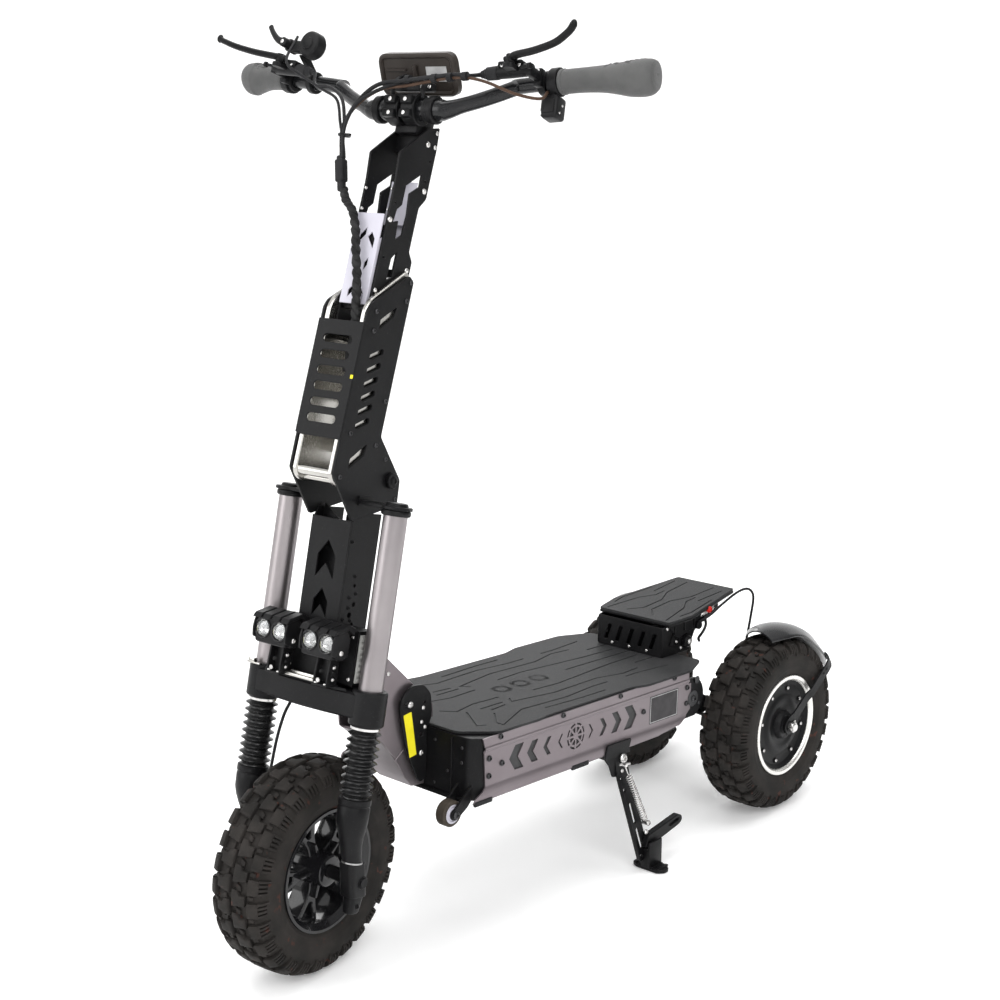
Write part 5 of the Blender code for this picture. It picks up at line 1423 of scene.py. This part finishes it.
def side_panel(side):
    """Folded side panel: stamped ridges, arrow windows and a round vent in its flat middle."""
    upper = [(148.3, 102, -272, 271), (148.3, 87.5, -267, 272), (149.9, 86, -266.5, 272), (149.9, 82, -267, 272),
            (148.0, 80.4, -267.5, 272), (148.0, 78, -268, 272)]
    lower = [(148.0, 25, -264, 272), (148.2, 22, -264, 268), (150.6, 17, -272, 262), (151.8, 9, -290, 246),
            (152.0, 4, -293, 190), (150.4, 1.4, -293, 184)]
    shapes = []
    for profile in (upper, lower):
        rings = [[(side * x, y0, z), (side * x, y1, z), (side * (x - 2.4), y1, z), (side * (x - 2.4), y0, z)]
                for x, z, y0, y1 in profile]
        shapes.append(skin(rings))
    holes = []
    for sign in (1, -1):
        for centre, height, width in CHEVRONS:
            y = centre if sign > 0 else -90 - centre
            z, tip = 54.5, height * 0.34
            arrow = [(-width, height / 2), (0, height / 2), (tip, 0), (0, -height / 2), (-width, -height / 2),
                    (tip - width, 0)]
            holes.append([(y + sign * (u - 2), z + v) for u, v in arrow])
    for k in range(8):
        turn = TAU * (k + 0.5) / 8
        holes += [arc(far, [turn + a for a in outer], VENT) + arc(near, [turn + a for a in inner], VENT)
                for far, near, outer, inner in ((15.4, 6.5, (-0.27, -0.09, 0.09, 0.27), (0.13, -0.13)),
                (22.4, 19, (-0.29, -0.1, 0.1, 0.29), (0.29, 0.1, -0.1, -0.29)))]
    middle = [(-268, 78), (-264, 25), (272, 25), (279, 30), (279, 78)]
    shapes.append(side_plate(middle, side, 145.6, 148, holes, 0.05))
    return join(*shapes)


def mat_top():
    outline = rounded(whole(MAT_HALF), 10, 4)
    grooves = []
    for line in MAT_GROOVES:
        grooves += both(stroke(line, 2.4))
    grooves.append(stroke([(0, 104), (0, 300)], 2.4))
    top = plate(outline, 104.2, 106, "Z", grooves, 0.55)
    base = plate(inset(outline, 0.3), 101.8, 104.6, "Z", edge=0.4)
    shapes = [top, base]
    for y in (-66, -18, 30):
        ridge = rounded(rect(-17, 17, y - 18, y + 18), 16, 5)
        shapes.append(plate(ridge, 105.4, 106, "Z", [rounded(rect(-9, 9, y - 10, y + 10), 9, 4)], 0.28))
    return join(*shapes)


PAD_SLOPE = 0.1107
PAD_FRONT = (297, 172.6)
PAD_TILT = math.degrees(math.atan(PAD_SLOPE))


def tail_pad():
    half = [(81, 0), (91, 58), (66, 230)]
    outline = rounded(whole(half), 5, 4)
    grooves = []
    for line in PAD_GROOVES:
        grooves += both(stroke(line, 2.2))
    return join(plate(outline, -2.2, 0, "Z", grooves, 0.5), plate(inset(outline, 0.3), -4.4, -1.8, "Z", edge=0.4))


def tail_plate():
    half = [(82, -1), (92, 57), (67, 231)]
    outline = rounded(whole(half), 5, 4)
    return plate(inset(outline, 0.6), -9, -4.6, "Z", edge=1.0)


def pad_height(y, drop=0.0):
    """Height of the tail pad's top in the deck frame."""
    return PAD_FRONT[1] + (y - PAD_FRONT[0]) * PAD_SLOPE - drop


def tail_box():
    """Folded support under the tail plate: side walls, slotted front and ribs."""
    outer = [(287, 106.4), (370, 106.4), (388, 142), (462, pad_height(462, 16)), (462, pad_height(462, 9.6)),
            (287, pad_height(287, 9.6))]
    shapes = []
    for side in (1, -1):
        holes = [rounded([(306 + 22 * k, 124), (314 + 22 * k, 124), (322 + 22 * k, 148), (314 + 22 * k, 148)], 2)
                for k in range(3)]
        shapes.append(side_plate(rounded(outer, 4), side, 71, 75, holes, 0.5))
        rib = rounded([(300, pad_height(300, 10)), (430, pad_height(430, 10)), (392, 150), (330, 136)], 3)
        shapes.append(side_plate(rib, side, 75, 78, edge=0.8))
        shapes += [slab(*span(side, 74, 80), 318 + 30 * k, 322 + 30 * k, 146 + 3 * k, 162 + 3 * k, 1) for k in range(4)]
        shapes += [rod((side * 74, 356, 128), (side * 86, 356, 128), 11, 40, 2),
                rod((side * 74, 392, 152), (side * 84, 392, 152), 8, 32, 1.5)]
    slots = [rounded([(x, 118), (x + 8, 118), (x + 18, 148), (x + 10, 148)], 2) for x in (-60, -34, -8, 18, 44)]
    shapes += [plate(rounded(rect(-73, 73, 106.4, pad_height(287, 9.6)), 2), 287, 290, "Y", slots, 0.5),
            plate(rect(-70, 70, 292, 372), 107, 112, "Z", edge=0.5)]
    rings = [[(-70, y, z), (70, y, z), (70, y + 2, z + 2), (-70, y + 2, z + 2)]
            for y, z in ((370, 108), (387, 143), (460, pad_height(460, 15)))]
    return join(*shapes, skin(rings), slab(-64, 64, 300, 356, 112, 150, 4))


def tail_screws():
    shapes = []
    for side in (1, -1):
        shapes += [side_bolt(side, 75.2, y, z, r) for y, z, r in ((300, pad_height(300, 14), 3.6), (330, 130, 3),
                (376, pad_height(376, 15), 4), (440, pad_height(440, 14), 3.4), (345, 116, 3))]
        shapes.append(side_bolt(side, 86, 356, 128, 5))
    shapes += [bolt((x, 287, 114), (0, -1, 0), 2.8) for x in (-40, 0, 40)]
    return join(*shapes)


def roller_tyre():
    return lathe([(9.4, 14.6), (9.4, 19), (7.4, 20.8), (-7.4, 20.8), (-9.4, 19), (-9.4, 14.6)], segments=56)


def roller_hub():
    return lathe([(10, 5), (10, 9), (8, 10.5), (9.8, 12.4), (9.8, 15), (-9.8, 15), (-9.8, 12.4), (-8, 10.5), (-10, 9),
            (-10, 5)], segments=56)


def build_deck():
    emit("neck_box", neck(), ROOT, PANEL, "frame", "frame_neck")
    emit("head_tube", head_tube(), FORK, BLACK, "frame")
    web = plate(rounded([(66, 505), (80, 518), (130, 478), (118, 436), (100, 420), (78, 446), (64, 470)], 2), -12, 12,
            "X", edge=1.5)
    emit("neck_web", web, ROOT, BLACK, "frame")
    for name, side in SIDES:
        emit(f"neck_side_{name}", neck_bracket(side), ROOT, BLACK, "frame", f"neck_bracket_{name}")
        emit(f"neck_bolts_{name}", bracket_fittings(side), ROOT, ZINC, "frame")
        sticker = side_plate(rounded([(157, 370), (174, 372), (184, 300), (169, 298)], 1), side, 50.4, 50.8, edge=0.1)
        emit(f"neck_sticker_{name}", sticker, ROOT, YELLOW, "frame")
        emit(f"panel_{name}", side_panel(side), DECK, PANEL, "frame", f"side_panel_{name}")
        back = side_plate(rect(-262, 276, 27, 76), side, 145.05, 145.5, edge=0.1)
        emit(f"panel_back_{name}", back, DECK, PANEL_BACK, "frame")
        screws = [side_bolt(side, 148.2, y, z, 4.1, washer=5.0) for y, z in PANEL_SCREWS]
        emit(f"panel_screws_{name}", join(*screws), DECK, DARK_SCREW, "frame")
        label = side_plate(rounded(rect(157, 240, 27.6, 77.4), 1.5), side, 147.9, 148.4, edge=0.1)
        emit(f"panel_label_{name}", label, DECK, GREY_LABEL, "frame")
        border = side_plate(rounded(rect(158.5, 238.5, 29, 76), 1.5), side, 148.3, 148.6,
                [rounded(rect(160, 237, 30.4, 74.6), 1)], 0.05)
        emit(f"panel_label_edge_{name}", border, DECK, LABEL, "frame")
        clips = join(slab(*span(side, 148, 153.4), -292, -251, -3, 6, 2.4),
                slab(*span(side, 148, 153.4), -57, -13, -2, 7, 2.4))
        emit(f"panel_clips_{name}", clips, DECK, RUBBER, "frame")
        place = joint_place(f"roller_{name}_spin")
        emit(f"roller_tread_{name}", roller_tyre(), place, ROLLER_RUBBER, f"roller_wheel_{name}", f"roller_{name}")
        emit(f"roller_core_{name}", roller_hub(), place, WHITE, f"roller_wheel_{name}")
    emit("deck_box", deck_shell(), DECK, BLACK, "frame", "deck_tray")
    emit("deck_screws", deck_fittings(), DECK, DARK_SCREW, "frame")
    emit("deck_rubber", mat_top(), DECK, MAT, "frame", "deck_mat")
    emit("battery_block", slab(-128, 128, -260, 168, 4, 87, 3), DECK, BATTERY, "frame", "battery_pack")
    emit("tail_support", tail_box(), DECK, BLACK, "frame", "tail_box")
    emit("tail_screws", tail_screws(), DECK, ZINC, "frame")
    tilt = DECK @ shift(0, *PAD_FRONT) @ about_x(PAD_TILT)
    emit("tail_rubber", tail_pad(), tilt, MAT, "frame", "tail_pad")
    emit("tail_sheet", tail_plate(), tilt, BLACK, "frame")
    strap = tube(spline([(77, 418, 158), (84, 410, 150), (86, 400, 140), (82, 392, 128), (79, 398, 120)], 6), 2.6, 12)
    emit("tail_strap", strap, DECK, RUBBER, "frame")
    knob = lathe([(76, 0.01), (76, 6.4), (82, 6.4), (84, 5), (84, 0.01)], (0, 424, 176), "X", 32)
    emit("tail_adjuster", knob, DECK, RED, "frame")
    link = join(rod((77, 400, 168), (78, 440, 178), 3.4, 20, 0.8), bolt((79, 404, 172), (1, 0, 0), 5))
    emit("tail_link", link, DECK, ZINC, "frame")


# ---- rear wheels


def swing_arm():
    pivot = to_frame((0, PIVOT[0], PIVOT[1]), DECK, ROOT)
    py, pz = pivot.y, pivot.z
    outline = [(py + 4, pz + 19), (py - 13, pz + 12), (py - 13, pz - 12), (py + 4, pz - 19), (880, 196), (985, 146),
            (1022, 147), (1032, 165), (1022, 183), (985, 190), (880, 238)]
    shapes = [rod((-138, py, pz), (138, py, pz), 20, 56, 1.5), rod((-92, 905, 205), (92, 905, 205), 14, 48, 1)]
    for side in (1, -1):
        holes = [rounded([(845, 216), (905, 190), (935, 176), (935, 196), (905, 214), (845, 236)], 6, 4)]
        shapes += [side_plate(rounded(outline, 8, 4), side, 78, 92, holes, 1.6),
                lathe([(side * 76, 20), (side * 76, 24), (side * 94, 24), (side * 94, 20)], (0, py, pz), "X", 48),
                side_bolt(side, 92, 995, 165, 4)]
    return join(*shapes)


def rear_axle():
    shapes = [rod((-228, 1012, 165), (228, 1012, 165), 8, 40, 1.2)]
    for side in (1, -1):
        shapes += [nut((side * 216, 1012, 165), (side, 0, 0), 10.4, 9), side_bolt(side, 216, 1026, 171, 3)]
    return join(*shapes)


HUB_BOLTS = [(side, math.sin(turn) * 70, math.cos(turn) * 70) for side in (1, -1)
        for turn in [TAU * (k + 0.3) / 8 for k in range(8)]]


def motor_cover():
    """Black hub motor: stepped cover on both faces between the rim flanges."""
    half = [(47, 8.6), (47, 15), (45.6, 17), (45.6, 23), (44, 25), (36, 28), (35.4, 38), (37.6, 42), (37.6, 52),
            (35, 57), (33.4, 62), (33.4, 78), (37.4, 82.6), (40.2, 86)]
    shapes = [lathe(whole(half), segments=96)]
    shapes += [rod((side * 33, y, z), (side * 35.4, y, z), 5.6, 24, 0.8) for side, y, z in HUB_BOLTS]
    return join(*shapes)


def motor_bolts():
    return join(*[side_bolt(side, 35.4, y, z, 3.2) for side, y, z in HUB_BOLTS])


def rim_band():
    """Bright rim: flanges that hold the tyre and the deep lip inside them."""
    half = [(39.4, 85.2), (43.5, 87.5), (45, 89.6), (45, 95.4), (44.2, 96), (42.4, 96), (41.4, 94), (41.1, 88.4)]
    return lathe(whole(half), segments=128)


def fender_shell(side):
    """Crowned mudguard with a lobe over the outer shoulder of the tyre."""
    rings = []
    steps = 40
    for i in range(steps + 1):
        t = i / steps
        turn = math.radians(27 + 75 * t)
        narrow = 1 - 0.28 * max(0, 1 - t * 6) ** 1.6 - 0.34 * max(0, 1 - (1 - t) * 5) ** 1.6
        lobe = 7.0 * math.exp(-((t - 0.36) / 0.2) ** 2)
        section = []
        count = 22
        for layer, order in ((0.0, range(count + 1)), (3.0, range(count, -1, -1))):
            for j in order:
                s = -1 + 2 * j / count
                x = 45 * narrow * s
                radius = 189 - 15.5 * abs(s) ** 2.3 - layer
                if s * side > 0.55:
                    radius -= lobe * (s * side - 0.55) / 0.45
                if s * side < 0:
                    radius -= 1.5 * abs(s)
                section.append((x, radius * math.cos(turn), radius * math.sin(turn)))
        rings.append(section)
    return skin(rings)


STAY_TURN = math.radians(35)


def fender_stay(side):
    """Flat bar from the axle's end up under the mudguard."""
    stations = [(51.5, -15, 8), (51.5, -9, 14), (51.5, 0, 16.4), (51.5, 10, 15), (51.5, 24, 10.6), (51.5, 60, 9),
            (51.5, 74, 9), (53, 80, 9), (55.5, 88, 9), (55.5, 150, 9.6), (54, 164, 10.2), (50, 171, 10.2),
            (44, 176, 10), (38, 178.6, 10)]
    rings = []
    for i, (x, r, half) in enumerate(stations):
        a, b = stations[max(i - 1, 0)], stations[min(i + 1, len(stations) - 1)]
        along = Vector((b[0] - a[0], b[1] - a[1])).normalized()
        nx, nr = along.y * 1.5, -along.x * 1.5
        ring = []
        for dx, dr, w in ((nx, nr, -half), (nx, nr, half), (-nx, -nr, half), (-nx, -nr, -half)):
            radius = r + dr
            ring.append((side * (x + dx), radius * math.cos(STAY_TURN) - w * math.sin(STAY_TURN),
                    radius * math.sin(STAY_TURN) + w * math.cos(STAY_TURN)))
        rings.append(ring)
    return skin(rings)


CABLE_LOOP = [(79, 893, 366), (86, 925, 376), (92, 955, 392), (98, 995, 408), (102, 1025, 410), (103, 1044, 392),
        (101, 1040, 350), (99.5, 1026, 290), (99.5, 1014, 240), (99.5, 1008, 200)]


def build_rear():
    emit("rear_fork_arms", swing_arm(), ROOT, BLACK, "rear_fork", "swing_arm")
    emit("rear_axle_rod", rear_axle(), ROOT, ZINC, "rear_fork")
    for name, side in SIDES:
        place = REAR[side]
        wheel = f"wheel_{name}"
        shape = tyre()
        shape.transform(Matrix.Rotation(0.35 + side * 0.2, 4, "X"))
        emit(f"rear_tyre_body_{name}", shape, place, TYRE, wheel, f"rear_tyre_{name}", sharp=50)
        emit(f"motor_cover_{name}", motor_cover(), place, BLACK, wheel, f"rear_motor_{name}")
        emit(f"motor_bolts_{name}", motor_bolts(), place, ZINC, wheel)
        emit(f"rim_band_{name}", rim_band(), place, RIM_SILVER, wheel)
        emit(f"mudguard_{name}", fender_shell(side), place, FENDER, "rear_fork", f"fender_{name}", sharp=60)
        emit(f"mudguard_stay_{name}", fender_stay(side), place, BLACK, "rear_fork")
        screws = [side_bolt(side, 57, r * math.cos(STAY_TURN), r * math.sin(STAY_TURN), 3) for r in (148, 136)]
        emit(f"mudguard_screws_{name}", join(*screws), place, DARK_SCREW, "rear_fork")
    path = spline(CABLE_LOOP, 8)
    emit("rear_cable", tube(path, 2.4, 14), ROOT, RUBBER, ("frame", "rear_fork", (79, 893, 366), (99.5, 1026, 290)),
            "motor_cable")


# ---- kickstand

STAND = Vector((156, 572, 211))
FOOT = Vector((181, 622, 6))


def stand_frame():
    """Frame at the stand's pivot with Z up along the leg and X outwards."""
    up = (STAND - FOOT).normalized()
    out = (Vector((1, 0, 0)) - up * up.x).normalized()
    turn = Matrix((out, up.cross(out), up)).transposed().to_4x4()
    return ROOT @ Matrix.Translation(STAND * MM) @ turn


def stand_leg():
    outline = [(-12, 16), (-18, 4), (-22, -30), (-21, -120), (-18, -196), (9, -196), (9, -120), (10, -30), (15, 4),
            (10, 16)]
    slot = rect(-10, -4, -84, -124)
    holes = [rounded(slot, 2.8, 4), rounded([(u + 1, v - 50) for u, v in slot], 2.8, 4)]
    holes += [circle(16, r, c) for r, c in ((3.2, (-14, -34)), (3.2, (-13, -56)), (2.6, (2, -44)), (2.6, (-12, -186)),
            (5.3, (0, 0)))]
    leg = plate(rounded(outline, 5, 4), -4.6, 0, "X", holes, 0.7)
    return join(leg, slab(-4.6, 3, -21.4, -18.6, -190, -30, 0.8))


def stand_foot():
    fx = 181
    outline = rounded([(149, 618), (160, 611), (205, 612), (215, 622), (215, 634), (203, 645), (160, 644), (149, 637)],
            5, 4)
    shapes = [plate(outline, 0.2, 7, "Z", edge=1.2)]
    shapes += [slab(154 + 12 * k, 160 + 12 * k, 613, 643, 6, 9, 1) for k in range(5)]
    shapes += [slab(fx - 9, fx + 9, 609, 641, 6, 42, 2), slab(fx + 8, fx + 12, 607, 643, 8, 54, 1.2)]
    tab = rounded([(606, 44), (614, 66), (700, 78), (711, 73), (712, 64), (704, 58), (636, 46)], 4, 3)
    hole = rounded([(674, 63), (702, 67), (702, 71.6), (674, 69)], 2.4, 4)
    shapes.append(plate(tab, fx - 7, fx + 5, "X", [hole], 1.2))
    return join(*shapes)


def coil(low, high, radius, wire, turns):
    """Helical spring between two points, with a straight hook wire beyond each end."""
    low, high = Vector(low), Vector(high)
    axis = (high - low).normalized()
    side, other = cross_axes(axis)
    length = (high - low).length
    points = [low - axis * 9, low - axis * 3]
    for i in range(turns * 14 + 1):
        turn = TAU * i / 14
        points.append(low + axis * (length * i / (turns * 14))
                + (side * math.cos(turn) + other * math.sin(turn)) * radius)
    points += [high + axis * 3, high + axis * 20]
    return tube(points, wire, 8)


def stand_bracket():
    """Black bracket that bolts under the deck's side and holds the stand's pivot."""
    outline = rounded([(34, 20), (100, 19), (94, 2), (80, -14), (66, -42), (50, -40), (40, -18), (27, -4)], 4, 3)
    return join(plate(outline, 151.4, 155.0, "X", edge=0.9), slab(138, 154, 36, 98, -6, 3, 1.5),
            plate(rounded([(36, 4), (96, 4), (80, -12), (54, -18)], 3), 138, 142, "X", edge=0.6))


def build_stand():
    place = stand_frame()
    emit("stand_plate", stand_leg(), place, BLACK, "stand", "kickstand_leg")
    emit("stand_shoe", stand_foot(), ROOT, BLACK, "stand")
    emit("stand_bolt", join(bolt((2, 0, 0), (1, 0, 0), 8, 5), bolt((0.4, -8, -20), (1, 0, 0), 3.4),
            bolt((0.4, 8, -186), (1, 0, 0), 4), bolt((4, 9, -150), (1, 0, 0), 4.6)), place, ZINC, "stand")
    spring = coil((182, 605, 97), (171, 572, 183), 5.2, 1.15, 20)
    emit("stand_spring", spring, ROOT, ZINC, ("frame", "stand", (171, 572, 183), (182, 605, 97)), "kickstand_spring",
            sharp=80)
    hook = join(rod((166, 560, 206), (176, 560, 206), 3.2, 20, 0.6), rod((166, 552, 207), (172, 574, 205), 2, 16, 0.4))
    emit("stand_hook", hook, ROOT, ZINC, "frame")
    emit("stand_mount", stand_bracket(), DECK, BLACK, "frame")
    anchor = join(rod((176, 608, 91), (189, 608, 91), 4.4, 24, 0.8), bolt((188, 608, 91), (1, 0, 0), 5))
    emit("stand_anchor", anchor, ROOT, ZINC, "stand")


# ---- studio

CAMERA_TURN = math.radians(42.11)


def build_studio():
    """Seamless white floor and backdrop, soft boxes and the camera."""
    bm = bmesh.new()
    bend = [(5.0 + 2.5 * math.sin(t), 2.5 - 2.5 * math.cos(t)) for t in [math.pi / 48 * k for k in range(25)]]
    profile = [(-7.5, 3.4)] + [(-y, z) for y, z in reversed(bend)] + bend + [(7.5, 9.0)]
    toward = Matrix.Rotation(CAMERA_TURN, 4, "Z")
    rows = [[bm.verts.new(toward @ Vector((x, y, z - 0.0005))) for y, z in profile] for x in (-12.0, 12.0)]
    for i in range(len(profile) - 1):
        bm.faces.new((rows[0][i], rows[0][i + 1], rows[1][i + 1], rows[1][i]))
    mesh = bpy.data.meshes.new("floor")
    bm.to_mesh(mesh)
    bm.free()
    mesh.materials.append(plain("studio_floor", (0.93, 0.93, 0.93), 0.75, glow=0.16))
    mesh.shade_smooth()
    floor = bpy.data.objects.new("floor", mesh)
    bpy.context.scene.collection.objects.link(floor)

    world = bpy.data.worlds.new("studio")
    bpy.context.scene.world = world
    world.use_nodes = True
    tree = world.node_tree
    sky = tree.nodes["Background"]
    sky.inputs["Color"].default_value = (1.0, 1.0, 1.0, 1)
    aim = tree.nodes.new("ShaderNodeVectorMath")
    aim.operation = "DOT_PRODUCT"
    aim.inputs[1].default_value = (-0.52, -0.47, 0.35)
    tree.links.new(tree.nodes.new("ShaderNodeTexCoord").outputs["Generated"], aim.inputs[0])
    spread = tree.nodes.new("ShaderNodeMapRange")
    for socket, value in (("From Min", -0.8), ("From Max", 0.8), ("To Min", 0.08), ("To Max", 1.3)):
        spread.inputs[socket].default_value = value
    tree.links.new(aim.outputs["Value"], spread.inputs["Value"])
    tree.links.new(spread.outputs["Result"], sky.inputs["Strength"])

    for name, place, target, size, power in (("key", (3.4, -2.2, 3.6), (0, -0.1, 0.5), 2.4, 90),
            ("fill", (-1.8, -4.2, 2.2), (0, -0.3, 0.6), 2.6, 60), ("top", (0.2, 0.3, 4.4), (0, 0, 0.4), 3.2, 90),
            ("back", (-3.2, 2.8, 2.6), (0, 0, 0.6), 2.2, 40)):
        lamp = bpy.data.lights.new(name, "AREA")
        lamp.size = size
        lamp.energy = power
        holder = bpy.data.objects.new(name, lamp)
        holder.location = place
        holder.rotation_euler = (Vector(target) - Vector(place)).to_track_quat("-Z", "Y").to_euler()
        bpy.context.scene.collection.objects.link(holder)

    camera = bpy.data.cameras.new("camera")
    camera.sensor_width = 36.0
    camera.lens = 57.52
    holder = bpy.data.objects.new("camera", camera)
    bpy.context.scene.collection.objects.link(holder)
    where = ROOT @ (Vector((1727.96, -1478.57, 1199.87)) * MM)
    turn = (Matrix.Rotation(CAMERA_TURN, 4, "Z") @ Matrix.Rotation(math.radians(90 - 11.84), 4, "X")
            @ Matrix.Rotation(math.radians(0.13), 4, "Z"))
    holder.matrix_world = Matrix.Translation(where) @ turn
    bpy.context.scene.camera = holder
    bpy.context.scene.view_settings.view_transform = "Standard"


def main():
    build_front()
    build_stem()
    build_handlebar()
    build_deck()
    build_rear()
    build_stand()
    build_studio()


main()
